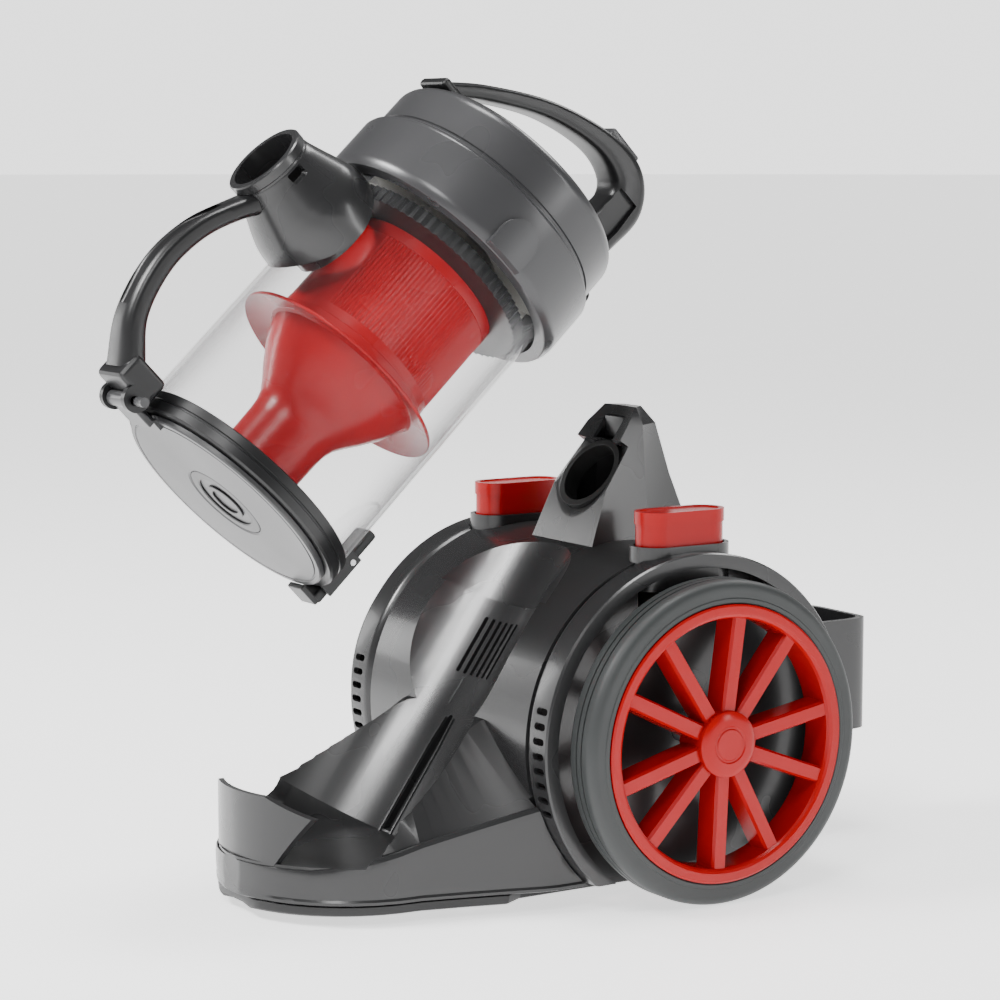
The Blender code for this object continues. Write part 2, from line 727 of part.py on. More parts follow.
def build_bin_body(root, looks):
    wall = turned([(BIN_R, 206), (BIN_R, 8.3), (73.5, 8.3), (73.5, 206)], 40)
    wall = cut(wall, rod(26.6, (0, -50, INLET_Z), (0, -100, INLET_Z), 32))
    piece("bin_cylinder", wall, looks["clear"], root)
    ring = turned([(78.5, 14), (78.5, 1), (77.5, 0), (70, 0), (70, 8), (76.3, 8), (76.3, 14)], 40)
    for x in (-14, 11.3):
        ring = joined(ring, block((x, 76.8, 1), (x + 2.7, 87.2, 31)))
    ring = cut(ring, rod(2.2, (-20, LATCH.y, LATCH.z), (20, LATCH.y, LATCH.z), 12))
    piece("bin_bottom_ring", ring, looks["black"], root)
    flange = rod(BIN_R + GAP, (0, 0, 90), (0, 0, 230), 48)
    flange = cut(flange, rod(26.3, (0, -60, INLET_Z), (0, -100, INLET_Z), 32))
    elbow = cut(spout(0.0), flange, rod(21.5, (0, -130, INLET_Z), (0, -50, INLET_Z), 32))
    elbow = cut(elbow, block((17, -123, INLET_Z - 5), (30, -115, INLET_Z + 5)))
    piece("inlet_elbow", elbow, looks["grey"], root)
    route = [(0, -112, 140), (0, -121, 118), (0, -131, 92), (0, -133, 62), (0, -123, 30), (0, -104, 8)]
    strap = moved(wire(smooth_path(route, 4), 6.5, 2), (0, 0, 0), Matrix.Scale(1.6, 4, (1, 0, 0)))
    foot = block((-17, -110, -3.6), (17, -82, 20), 2.0)
    strap = cut(joined(strap, foot), spout(GAP), rod(BIN_R + GAP, (0, 0, 20), (0, 0, 200), 48))
    strap = cut(strap, rod(5.4, (-12.6, HINGE.y, HINGE.z), (12.6, HINGE.y, HINGE.z), 16))
    for x in (-17, 12.6):
        strap = joined(strap, block((x, -99, -11), (x + 4.4, -85, 2)))
    strap = cut(strap, rod(2.8, (-30, HINGE.y, HINGE.z), (30, HINGE.y, HINGE.z), 12))
    piece("strap_handle", strap, looks["black"], root)
    pin = rod(2.5, (-16.8, HINGE.y, HINGE.z), (16.8, HINGE.y, HINGE.z), 12)
    piece("flap_hinge_pin", pin, looks["steel"], root)
    pin = rod(1.9, (-13.8, LATCH.y, LATCH.z), (13.8, LATCH.y, LATCH.z), 12)
    piece("latch_pin", pin, looks["steel"], root)
    funnel = [(54.5, 113), (71.5, 102), (71.5, 100), (53, 108), (26, 62)]
    funnel += [(25.5, 5), (23.5, 5), (23.7, 63), (51.5, 111)]
    piece("cyclone_funnel", turned(funnel, 40), looks["cyclone"], root)
    shroud = turned([(53.5, 183), (53.5, 113.3), (51.5, 113.3), (51.5, 183)], 32)
    piece("cyclone_shroud", shroud, looks["cyclone"], root)
    separator = turned([(71, 195), (71, 186), (54, 183.3), (46, 183.3), (46, 195)], 32)
    piece("separator_ring", separator, looks["black"], root)


def build_flap(root, looks):
    profile = [(0, -1.2), (13, -1.2), (13, -0.6), (73, -0.6)]
    profile += [(73, -3.0), (72, -4.0), (27, -4.0), (27, -2.4), (0, -2.4)]
    disc = turned(profile, 32, closed=False)
    knuckle = rod(4.8, (-12, HINGE.y, HINGE.z), (12, HINGE.y, HINGE.z), 16)
    lug = block((-12, -92, -9.6), (12, -70, -4.2))
    disc = joined(disc, lug, knuckle, block((-12, -74, -6), (12, -66, -2)))
    disc = cut(disc, rod(2.9, (-30, HINGE.y, HINGE.z), (30, HINGE.y, HINGE.z), 12))
    piece("bin_flap", disc, looks["flap"], root, HINGE)
    seal = turned([(68.5, 1.6), (68.5, -0.3), (63.5, -0.3), (63.5, 1.6)], 32)
    piece("flap_seal", seal, looks["rubber"], root, HINGE)
    boss = turned([(22.8, 4.4), (22.8, 0), (19, -0.3), (15, -0.3), (15, 4.4)], 32)
    piece("cyclone_foot_seal", boss, looks["rubber"], root, HINGE)
    lever = joined(
        block((-9, 80.5, -6), (9, 87.4, 50), 1.2),
        block((-9, 71, -8.2), (9, 86, -4.4)),
    )
    lever = cut(lever, rod(2.3, (-30, LATCH.y, LATCH.z), (30, LATCH.y, LATCH.z), 12))
    piece("flap_latch", lever, looks["black"], root, LATCH)


def build_lid(root, looks):
    origin = (0, 0, 196)
    collar = [(84.5, 236), (88.5, 234), (88.5, 200), (86, 196), (78, 196), (78, 209.4)]
    collar += [(70, 209.4), (70, 213), (84.5, 216)]
    piece("lid_collar", turned(collar, 48), looks["lid"], root, origin)
    shell = [(0, LID_TOP), (77, LID_TOP), (83.5, LID_TOP - 6), (83.5, 236.4)]
    shell += [(81, 236.4), (81, 262), (0, 266.5)]
    cap = turned(shell, 40, closed=False)
    cap = cut(cap, plate_tube(20.3, 12.3, 60, 100, 251))
    piece("lid_cap", cap, looks["lid"], root, origin)
    duct = cut(plate_tube(20.0, 12.0, 72, 86.0, 251), plate_tube(17.5, 9.5, 60, 100, 251))
    piece("outlet_duct", duct, looks["black"], root, origin)
    star = []
    for i in range(48):
        radius = 66.0 if i % 2 else 58.0
        star.append((radius * math.cos(math.pi * i / 24), radius * math.sin(math.pi * i / 24)))
    pleats = cut(plate(star, 214.0, 240.0), rod(34.0, (0, 0, 200), (0, 0, 260), 24))
    piece("lid_filter", pleats, looks["filter"], root, origin)
    seal = turned([(75.5, 209.0), (75.5, 206.4), (71, 206.4), (71, 209.0)], 32)
    piece("lid_seal", seal, looks["rubber"], root, origin)
    route = [(0, -74, 274), (0, -52, 293), (0, -14, 319), (0, 26, 334), (0, 56, 336), (0, 72, 322)]
    route += [(0, 72, 298), (0, 64, 278)]
    loop = wire(smooth_path(route, 4), 9.5, 3)
    loop = moved(loop, (0, 0, 0), Matrix.Scale(1.5, 4, (1, 0, 0)))
    front_foot = block((-15, -82, LID_TOP + GAP), (15, -58, 281), 2.0)
    rear_foot = block((-18, 44, LID_TOP + GAP), (18, 81, 300), 3.0)
    loop = cut(loop, block((-40, -100, 240), (40, 100, LID_TOP + GAP)))
    loop = joined(loop, front_foot, rear_foot)
    top = 338.7
    loop = cut(loop, block((-9.4, 27, top), (9.4, 55, top + 30)))
    piece("carry_handle", loop, looks["black"], root, origin)
    button = block((-9, 27.4, top + 2.9), (9, 54.6, top + 8.8), 1.0)
    piece("release_button", button, looks["grey"], root, (0, 41, top + 4.0))


def plate_tube(rx, rz, near, far, height):
    tube = plate(ellipse(rx, rz), -far, -near)
    return moved(tube, (0, 0, height), Matrix.Rotation(math.radians(90), 4, "X"))


def make_looks():
    return {
        "housing": material("charcoal_gloss_plastic", (0.085, 0.085, 0.09), 0.28),
        "black": material("black_plastic", (0.02, 0.02, 0.022), 0.4),
        "red": material("red_gloss_plastic", (0.72, 0.01, 0.015), 0.2),
        "cyclone": material("red_clear_plastic", (0.62, 0.012, 0.02), 0.18),
        "clear": material("clear_plastic", (0.95, 0.96, 0.97), 0.05, transmission=1.0),
        "lid": material("grey_satin_plastic", (0.13, 0.13, 0.135), 0.32),
        "grey": material("grey_plastic", (0.12, 0.12, 0.125), 0.35),
        "flap": material("mid_grey_plastic", (0.23, 0.23, 0.235), 0.35),
        "rubber": material("black_rubber", (0.015, 0.015, 0.015), 0.7),
        "tyre": material("tyre_rubber", (0.05, 0.055, 0.055), 0.6),
        "steel": material("steel", (0.6, 0.6, 0.61), 0.35, metallic=1.0),
        "metal": material("aluminium", (0.75, 0.76, 0.77), 0.4, metallic=1.0),
        "copper": material("laminations", (0.45, 0.33, 0.25), 0.45, metallic=1.0),
        "filter": material("filter_paper", (0.8, 0.79, 0.75), 0.9),
    }


def frame_empty(name, place):
    empty = bpy.data.objects.new(name, None)
    bpy.context.scene.collection.objects.link(empty)
    empty.matrix_world = place
    return empty


def main():
    clear_scene()
    looks = make_looks()
    base = frame_empty("base_frame", Matrix.Translation((0, FRAME_Y * MM, 0)))
    lifted = Matrix.Translation((LIFT_BOTTOM + Vector((0, FRAME_Y, 0))) * MM)
    dust_bin = frame_empty("bin_frame", lifted @ Matrix.Rotation(LIFT_TILT - math.pi / 2, 4, "X"))
    build_base_shells(base, looks)
    build_drive(base, looks)
    build_buttons(base, looks)
    build_wheels(base, looks)
    build_caster(base, looks)
    build_screws(base, looks)
    build_bin_body(dust_bin, looks)
    build_flap(dust_bin, looks)
    build_lid(dust_bin, looks)


main()
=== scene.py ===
"""Looks of the canister vacuum cleaner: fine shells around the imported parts, their materials, and the studio.

Shapes are drawn in millimetres in one of two local frames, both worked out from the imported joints. The
base frame has the wheel axle over its origin and the nose towards -Y. The bin frame has the dust bin upright
on its origin with the strap handle towards -Y. DOCKED turns the bin frame into the bin's docked place on the
base.
"""

import json
import math

import bmesh
import bpy
from mathutils import Matrix, Vector


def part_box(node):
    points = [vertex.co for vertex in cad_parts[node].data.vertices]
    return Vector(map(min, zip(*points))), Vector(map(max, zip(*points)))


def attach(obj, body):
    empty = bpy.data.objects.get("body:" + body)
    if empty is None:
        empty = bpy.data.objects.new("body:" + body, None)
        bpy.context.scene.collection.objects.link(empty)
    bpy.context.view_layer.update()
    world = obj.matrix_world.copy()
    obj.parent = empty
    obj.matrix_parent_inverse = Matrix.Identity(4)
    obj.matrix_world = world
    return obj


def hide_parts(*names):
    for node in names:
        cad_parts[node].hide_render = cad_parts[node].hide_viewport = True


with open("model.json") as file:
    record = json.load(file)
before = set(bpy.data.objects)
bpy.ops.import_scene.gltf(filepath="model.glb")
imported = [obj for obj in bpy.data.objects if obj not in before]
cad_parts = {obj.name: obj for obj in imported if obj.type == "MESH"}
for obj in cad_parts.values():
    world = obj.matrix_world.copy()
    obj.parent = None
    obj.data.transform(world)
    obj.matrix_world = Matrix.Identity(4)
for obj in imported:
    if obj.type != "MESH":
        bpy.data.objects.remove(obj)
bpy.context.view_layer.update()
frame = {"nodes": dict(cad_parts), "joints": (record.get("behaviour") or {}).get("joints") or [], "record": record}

MM = 0.001
JOINTS = {joint["name"]: joint for joint in frame["joints"]}


def place(name):
    return Vector(JOINTS[name]["pos_m"])


def size_of(node):
    """A node's box in millimetres: (lowest corner, highest corner)."""
    low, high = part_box(node)
    return low / MM, high / MM


def radius_of(node):
    """Half the node's width across the cleaner, in millimetres."""
    low, high = size_of(node)
    return (high.x - low.x) / 2


# ---------------------------------------------------------------------------
# Local frames
# ---------------------------------------------------------------------------

AXLE = place("left_wheel_spin")
BASE = Matrix.Translation((0.0, AXLE.y, 0.0)) @ Matrix.Scale(MM, 4)

BIN_HINGE = Vector((0.0, -92.0, -6.5))
BIN_LATCH = Vector((0.0, 84.0, 26.0))
BIN_UP = Vector(JOINTS["lid_pull"]["axis"])
BIN_TURN = Matrix.Rotation(math.atan2(BIN_UP.z, BIN_UP.y) - math.pi / 2, 4, "X")
BIN_ORIGIN = place("flap_swing") - BIN_TURN @ (BIN_HINGE * MM)
BIN = Matrix.Translation(BIN_ORIGIN) @ BIN_TURN @ Matrix.Scale(MM, 4)

LIFT = JOINTS["bin_lift"]
LIFT_PIVOT = Matrix.Translation(place("bin_lift"))
LIFT_TURN = Matrix.Rotation(math.radians(LIFT["range_deg"][0]), 4, LIFT["axis"])
DOCKING = LIFT_PIVOT @ LIFT_TURN @ LIFT_PIVOT.inverted()
DOCKED = BASE.inverted() @ DOCKING @ BIN

# ---------------------------------------------------------------------------
# Driving sizes, in millimetres
# ---------------------------------------------------------------------------

WHEEL_R = AXLE.z / MM
RIM_R = (size_of("left_wheel_rim")[1].z - size_of("left_wheel_rim")[0].z) / 2
TYRE_NEAR = size_of("left_wheel_tyre")[0].x
TYRE_FAR = size_of("left_wheel_tyre")[1].x
COVER_NEAR = size_of("arch_cover_left")[0].x
COVER_FAR = size_of("arch_cover_left")[1].x
COVER_R = 113.4
BIN_R = radius_of("bin_cylinder")
BIN_WALL = 2.5
COLLAR_R = radius_of("lid_collar")
CAP_R = radius_of("lid_cap")
RING_R = radius_of("bin_bottom_ring")
SHROUD_R = radius_of("cyclone_shroud")
UMBRELLA_R = radius_of("cyclone_funnel")
SEPARATOR_R = radius_of("separator_ring")
INLET_Z = 156.0
LID_TOP = 270.0

DRUM_R = 112.0
DRUM_HALF = 94.0
WALL = 2.5
BODY_FLOOR = 13.0
NOSE_R = 85.0
NOSE_Y = -178.0
SKIRT_BACK = 107.0
STEP_FLOOR = 36.0
FENCE_TOP = 76.0
FOOT = Vector((0.0, -155.0, 36.0))
TROUGH_R = 89.0
RECESS_R = 93.0
RECESS_START = 152.0
RECESS_END = 274.0
HANDLE_ROOM_R = 86.0
PORT_S = 252.0
PORT_DEPTH = 89.0
PORT_RX = 27.0
PORT_RS = 25.0
BUTTON_X = 93.0
BUTTON_Y = 1.0
BUTTON_SIZE = (27.0, 62.0)
COLLAR_TOP = 217.0
BUTTON_TOP = 238.0
SPOKE_START = 48.6
SPOKE_SPREAD = 20.5
SPOKE_HALF = 5.0
HUB_FACE = 145.5
GAP = 0.3
CATCH_LOW = Vector((-10.7, 15.5, 273.5))
CATCH_HIGH = Vector((10.7, 19.5, 287.5))
OUTLET_X = -55.0
OUTLET_Z = 112.0
INLET_BORE = 21.5
STRAP_GAP = 12.6
TAB_RISE = 3.0
TAB_TURN = -6.0
HANDLE_RECESS_FLOOR = 338.7
# The spine is hollow up to its top section, which lies above this height.
SPINE_TOP_FROM = 290
# Height, front, back and half width of the spine's sections.
SPINE_SECTIONS = (
    (150, -20, 92, 46),
    (208, -25, 64, 35),
    (250, -8, 48, 29),
    (283, 5, 39, 23),
    (294, 12, 30, 17),
)

# ---------------------------------------------------------------------------
# Shape tools. Each returns an object whose mesh is in millimetres.
# ---------------------------------------------------------------------------


def from_bmesh(bm):
    bmesh.ops.recalc_face_normals(bm, faces=bm.faces)
    if bm.calc_volume(signed=True) < 0:
        bmesh.ops.reverse_faces(bm, faces=bm.faces)
    mesh = bpy.data.meshes.new("shape")
    bm.to_mesh(mesh)
    bm.free()
    shape = bpy.data.objects.new("shape", mesh)
    bpy.context.scene.collection.objects.link(shape)
    return shape


def baked(shape):
    """The shape as plain mesh, with its modifiers or its curve worked out."""
    graph = bpy.context.evaluated_depsgraph_get()
    mesh = bpy.data.meshes.new_from_object(shape.evaluated_get(graph))
    mesh.transform(shape.matrix_world)
    bpy.data.objects.remove(shape, do_unlink=True)
    bm = bmesh.new()
    bm.from_mesh(mesh)
    bpy.data.meshes.remove(mesh)
    bmesh.ops.remove_doubles(bm, verts=bm.verts, dist=0.0005)
    return from_bmesh(bm)


def moved(shape, offset=(0, 0, 0), turn=None):
    matrix = Matrix.Translation(Vector(offset))
    if turn is not None:
        matrix = matrix @ turn
    shape.data.transform(matrix)
    if matrix.determinant() < 0:
        shape.data.flip_normals()
    return shape


def block(low, high, bevel=0.0, segments=3):
    bm = bmesh.new()
    bmesh.ops.create_cube(bm, size=1.0)
    low, high = Vector(low), Vector(high)
    size, middle = high - low, (high + low) / 2
    for vert in bm.verts:
        vert.co = Vector(a * b for a, b in zip(vert.co, size)) + middle
    if bevel:
        bmesh.ops.bevel(bm, geom=bm.edges, offset=bevel, segments=segments, profile=0.5, affect="EDGES")
    return from_bmesh(bm)


def rod(radius, start, end, segments=64):
    bm = bmesh.new()
    start, end = Vector(start), Vector(end)
    length = (end - start).length
    bmesh.ops.create_cone(bm, cap_ends=True, segments=segments, radius1=radius, radius2=radius, depth=length)
    turn = (end - start).to_track_quat("Z", "Y").to_matrix().to_4x4()
    bm.transform(Matrix.Translation((start + end) / 2) @ turn)
    return from_bmesh(bm)


def across(radius, half, pivot, segments=32):
    """A rod along X through a pivot, reaching half its length to each side."""
    return rod(radius, (-half, pivot.y, pivot.z), (half, pivot.y, pivot.z), segments)


def turned(profile, segments=128, closed=True):
    """A profile of (radius, height) turned about Z."""
    mesh = bpy.data.meshes.new("profile")
    count = len(profile)
    edges = [(i, i + 1) for i in range(count - 1)]
    if closed:
        edges.append((count - 1, 0))
    mesh.from_pydata([(r, 0.0, z) for r, z in profile], edges, [])
    shape = bpy.data.objects.new("profile", mesh)
    bpy.context.scene.collection.objects.link(shape)
    screw = shape.modifiers.new("turn", "SCREW")
    screw.steps = segments
    screw.render_steps = segments
    screw.use_merge_vertices = True
    screw.merge_threshold = 0.0001
    return baked(shape)


def plate(outline, low, high):
    """A flat outline in X and Y, given thickness from low to high."""
    curve = bpy.data.curves.new("outline", "CURVE")
    curve.dimensions = "2D"
    curve.fill_mode = "BOTH"
    curve.extrude = (high - low) / 2
    spline = curve.splines.new("POLY")
    spline.points.add(len(outline) - 1)
    for point, (x, y) in zip(spline.points, outline):
        point.co = (x, y, 0.0, 1.0)
    spline.use_cyclic_u = True
    shape = bpy.data.objects.new("outline", curve)
    bpy.context.scene.collection.objects.link(shape)
    return moved(baked(shape), (0, 0, (high + low) / 2))


def loft(rings, smooth_quads=False):
    """A solid through closed rings of the same number of points, capped at both ends."""
    bm = bmesh.new()
    loops = [[bm.verts.new(point) for point in ring] for ring in rings]
    for low, high in zip(loops, loops[1:]):
        for i in range(len(low)):
            j = (i + 1) % len(low)
            bm.faces.new((low[i], low[j], high[j], high[i]))
    bm.faces.new(loops[0])
    bm.faces.new(loops[-1])
    if not smooth_quads:
        bent = [face for face in bm.faces if len(face.verts) == 4]
        bmesh.ops.triangulate(bm, faces=bent)
    return from_bmesh(bm)


def smooth_path(points, steps):
    """Points along a smooth curve through the given ones."""
    points = [Vector(p) for p in points]
    ends = [2 * points[0] - points[1], *points, 2 * points[-1] - points[-2]]
    path = []
    for a, b, c, d in zip(ends, ends[1:], ends[2:], ends[3:]):
        for i in range(steps):
            t = i / steps
            bend = (2 * a - 5 * b + 4 * c - d) * t**2 + (3 * b - a - 3 * c + d) * t**3
            path.append(0.5 * (2 * b + (c - a) * t + bend))
    path.append(points[-1])
    return path


def superellipse(half_x, half_y, power=3.2, steps=32):
    points = []
    for i in range(steps):
        t = 2 * math.pi * i / steps
        c, s = math.cos(t), math.sin(t)
        x = half_x * math.copysign(abs(c) ** (2 / power), c)
        y = half_y * math.copysign(abs(s) ** (2 / power), s)
        points.append((x, y))
    return points


def band(points, halves, steps=8, power=3.2):
    """A rounded bar in the X = 0 plane, its section given at each point as (half width, half thickness)."""
    path = smooth_path(points, steps)
    sizes = smooth_path([(*half, 0.0) for half in halves], steps)
    rings = []
    for i, centre in enumerate(path):
        before, after = path[max(i - 1, 0)], path[min(i + 1, len(path) - 1)]
        along = (after - before).normalized()
        out = Vector((0, along.z, -along.y))
        section = superellipse(sizes[i].x, sizes[i].y, power)
        rings.append([centre + Vector((x, 0, 0)) + out * y for x, y in section])
    return loft(rings, smooth_quads=True)


def combined(first, second, operation):
    modifier = first.modifiers.new("boolean", "BOOLEAN")
    modifier.operation = operation
    modifier.solver = "EXACT"
    modifier.object = second
    made = baked(first)
    bpy.data.objects.remove(second, do_unlink=True)
    return made


def joined(first, *others):
    for other in others:
        first = combined(first, other, "UNION")
    return first


def cut(first, *others):
    for other in others:
        first = combined(first, other, "DIFFERENCE")
    return first


def kept(first, other):
    return combined(first, other, "INTERSECT")


def gathered(*shapes):
    """Several shapes as one object, left as separate bodies."""
    bm = bmesh.new()
    for shape in shapes:
        bm.from_mesh(shape.data)
        bpy.data.objects.remove(shape, do_unlink=True)
    mesh = bpy.data.meshes.new("gathered")
    bm.to_mesh(mesh)
    bm.free()
    made = bpy.data.objects.new("gathered", mesh)
    bpy.context.scene.collection.objects.link(made)
    return made


def arc(radius, start, end, steps, centre=(0.0, 0.0)):
    angles = (math.radians(start + (end - start) * i / steps) for i in range(steps + 1))
    return [(centre[0] + radius * math.cos(a), centre[1] + radius * math.sin(a)) for a in angles]


def pill(width, length, steps=16):
    """A slot-shaped outline, its length along Y."""
    radius, straight = width / 2, (length - width) / 2
    return arc(radius, 0, 180, steps, (0, straight)) + arc(radius, 180, 360, steps, (0, -straight))


def ellipse(rx, ry, steps=72):
    turns = (2 * math.pi * i / steps for i in range(steps))
    return [(rx * math.cos(t), ry * math.sin(t)) for t in turns]


def mirrored(shape):
    return moved(shape, (0, 0, 0), Matrix.Scale(-1, 4, (1, 0, 0)))


ACROSS = Matrix.Rotation(math.radians(90), 4, "Y")
UPRIGHT = Matrix.Rotation(math.radians(90), 4, "X")
# Stands an outline up: its X becomes the frame's Y, and its Y the height.
STANDING = Matrix(((0, 0, 1, 0), (1, 0, 0, 0), (0, 1, 0, 0), (0, 0, 0, 1)))


def flattened(shape):
    """Joins the triangles that lie in one plane into one face, so that edges round evenly."""
    bm = bmesh.new()
    bm.from_mesh(shape.data)
    bmesh.ops.dissolve_degenerate(bm, edges=bm.edges, dist=0.01)
    bmesh.ops.dissolve_limit(bm, angle_limit=math.radians(0.6), verts=bm.verts, edges=bm.edges)
    bm.to_mesh(shape.data)
    bm.free()


def show(shape, name, body, look, space, stands_for=(), bevel=0.0, sharp=32.0, segments=2, crease=22.0):
    """Puts a finished shape in the shared frame, rounds its edges, and lets it ride with its CAD body."""
    flattened(shape)
    shape.data.transform(space)
    shape.name = name
    shape.data.name = name
    shape.data.shade_smooth()
    shape.data.set_sharp_from_angle(angle=math.radians(min(sharp, crease)))
    if bevel:
        modifier = shape.modifiers.new("edges", "BEVEL")
        modifier.width = bevel * MM
        modifier.segments = segments
        modifier.limit_method = "ANGLE"
        modifier.angle_limit = math.radians(sharp)
        modifier.miter_outer = "MITER_ARC"
        modifier.use_clamp_overlap = True
        weighted = shape.modifiers.new("normals", "WEIGHTED_NORMAL")
        weighted.keep_sharp = True
        weighted.weight = 80
    shape.data.materials.clear()
    shape.data.materials.append(look)
    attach(shape, body)
    if stands_for:
        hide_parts(*stands_for)
    return shape


# ---------------------------------------------------------------------------
# Materials. Pattern sizes are in metres, because every mesh's own coordinates are the shared frame's.
# ---------------------------------------------------------------------------

SLOT_OF = {
    "charcoal_gloss": "charcoal_plastic",
    "black_satin": "black_plastic",
    "red_gloss": "red_plastic",
    "cyclone_red": "red_clear_plastic",
    "clear_shell": "clear_plastic",
    "lid_satin": "grey_plastic",
    "flap_grey": "mid_grey_plastic",
    "soft_rubber": "black_rubber",
    "tyre_tread": "tyre_rubber",
    "plain_steel": "steel",
    "cast_aluminium": "fan_aluminium",
    "copper_windings": "rotor_laminations",
    "pleated_paper": "filter_paper",
}


class Look:
    """A Principled material and the short cuts that its nodes are made with."""

    def __init__(self, name):
        self.material = bpy.data.materials.new(name)
        self.material.use_nodes = True
        self.nodes = self.material.node_tree.nodes
        self.links = self.material.node_tree.links
        self.shader = self.nodes["Principled BSDF"]
        self.where = self.nodes.new("ShaderNodeTexCoord").outputs["Object"]

    def set(self, **values):
        for name, value in values.items():
            self.shader.inputs[name.replace("_", " ")].default_value = value
        return self

    def noise(self, scale, detail=3.0, stretch=None):
        node = self.nodes.new("ShaderNodeTexNoise")
        node.inputs["Scale"].default_value = scale
        node.inputs["Detail"].default_value = detail
        source = self.where
        if stretch is not None:
            mapping = self.nodes.new("ShaderNodeMapping")
            mapping.inputs["Scale"].default_value = stretch
            self.links.new(self.where, mapping.inputs["Vector"])
            source = mapping.outputs["Vector"]
        self.links.new(source, node.inputs["Vector"])
        return node.outputs["Fac"]

    def ramp(self, source, low, high, start=0.3, end=0.7):
        node = self.nodes.new("ShaderNodeValToRGB")
        first, last = node.color_ramp.elements
        first.position, last.position = start, end
        first.color, last.color = (*low, 1.0), (*high, 1.0)
        self.links.new(source, node.inputs["Fac"])
        return node.outputs["Color"]

    def spread(self, source, low, high):
        node = self.nodes.new("ShaderNodeMapRange")
        node.inputs["From Min"].default_value = 0.3
        node.inputs["From Max"].default_value = 0.7
        node.inputs["To Min"].default_value = low
        node.inputs["To Max"].default_value = high
        self.links.new(source, node.inputs["Value"])
        return node.outputs["Result"]

    def color(self, source):
        self.links.new(source, self.shader.inputs["Base Color"])
        return self

    def roughness(self, source):
        self.links.new(source, self.shader.inputs["Roughness"])
        return self

    def bump(self, source, strength, distance):
        node = self.nodes.new("ShaderNodeBump")
        node.inputs["Strength"].default_value = strength
        node.inputs["Distance"].default_value = distance
        self.links.new(source, node.inputs["Height"])
        previous = self.shader.inputs["Normal"]
        if previous.is_linked:
            self.links.new(previous.links[0].from_socket, node.inputs["Normal"])
        self.links.new(node.outputs["Normal"], previous)
        return self


def moulded(name, dark, light, shine, grain=900.0, grain_strength=0.06):
    """Moulded plastic: slow colour drift, roughness that varies with handling, and a fine grain."""
    look = Look(name)
    look.color(look.ramp(look.noise(9.0), dark, light))
    look.roughness(look.spread(look.noise(14.0, 2.0), shine - 0.02, shine + 0.03))
    look.bump(look.noise(grain, 1.0), grain_strength, 0.00003)
    return look


def make_looks():
    charcoal = moulded("charcoal_gloss", (0.0155, 0.0155, 0.0161), (0.0185, 0.0185, 0.0192), 0.27, 260.0, 0.3)
    charcoal.set(Specular_IOR_Level=0.45, Coat_Weight=0.15, Coat_Roughness=0.1)
    black = moulded("black_satin", (0.006, 0.006, 0.0064), (0.01, 0.01, 0.0107), 0.33, 1500.0, 0.08)
    black.set(Specular_IOR_Level=0.4)
    red = moulded("red_gloss", (0.33, 0.0003, 0.0012), (0.37, 0.0005, 0.002), 0.24, 600.0, 0.01)
    red.set(Specular_IOR_Level=0.22, Coat_Weight=0.06, Coat_Roughness=0.06)
    cyclone = moulded("cyclone_red", (0.27, 0.0005, 0.003), (0.33, 0.0008, 0.004), 0.26, 500.0, 0.01)
    cyclone.set(Specular_IOR_Level=0.25)
    lid = moulded("lid_satin", (0.042, 0.042, 0.044), (0.05, 0.05, 0.052), 0.28, 1400.0, 0.02)
    lid.set(Metallic=0.2, Specular_IOR_Level=0.5)
    flap = moulded("flap_grey", (0.036, 0.036, 0.0375), (0.044, 0.044, 0.0457), 0.34, 1300.0, 0.02)
    rubber = moulded("soft_rubber", (0.005, 0.005, 0.005), (0.009, 0.009, 0.009), 0.5, 1800.0, 0.1)
    rubber.set(Specular_IOR_Level=0.3)
    tyre = moulded("tyre_tread", (0.024, 0.0265, 0.0265), (0.034, 0.037, 0.037), 0.48, 1600.0, 0.12)
    tyre.set(Specular_IOR_Level=0.4)
    steel = moulded("plain_steel", (0.5, 0.5, 0.51), (0.62, 0.62, 0.63), 0.3, 2500.0, 0.1)
    steel.set(Metallic=1.0)
    aluminium = moulded("cast_aluminium", (0.62, 0.63, 0.64), (0.74, 0.75, 0.76), 0.42, 1200.0, 0.25)
    aluminium.set(Metallic=1.0)
    copper = moulded("copper_windings", (0.32, 0.17, 0.1), (0.55, 0.3, 0.18), 0.35, 1900.0, 0.4)
    copper.set(Metallic=1.0)
    paper = moulded("pleated_paper", (0.68, 0.66, 0.6), (0.8, 0.78, 0.72), 0.85, 1500.0, 0.35)
    made = (charcoal, black, red, cyclone, lid, flap, rubber, tyre, steel, aluminium, copper, paper)
    looks = {look.material.name: look.material for look in made}
    looks["clear_shell"] = clear_plastic()
    return looks


def clear_plastic():
    """Clear shell: nearly nothing face on, brighter and less clear where it is seen at a glancing angle."""
    look = moulded("clear_shell", (0.3, 0.303, 0.31), (0.34, 0.343, 0.35), 0.07, 400.0, 0.004)
    look.set(IOR=1.49, Specular_IOR_Level=0.5)
    edge = look.nodes.new("ShaderNodeLayerWeight")
    edge.inputs["Blend"].default_value = 0.35
    opacity = look.nodes.new("ShaderNodeMapRange")
    opacity.interpolation_type = "SMOOTHSTEP"
    opacity.inputs["From Min"].default_value = 0.2
    opacity.inputs["To Min"].default_value = 0.015
    opacity.inputs["To Max"].default_value = 0.6
    look.links.new(edge.outputs["Facing"], opacity.inputs["Value"])
    look.links.new(opacity.outputs["Result"], look.shader.inputs["Alpha"])
    return look.material


LOOKS = make_looks()

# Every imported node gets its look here, whether or not a finer piece stands for it later.
LOOK_OF_SLOT = {slot: LOOKS[name] for name, slot in SLOT_OF.items()}
for part in frame["record"]["subparts"]:
    node = frame["nodes"][part["node"]]
    node.data.materials.clear()
    node.data.materials.append(LOOK_OF_SLOT[part["material_slot"]])


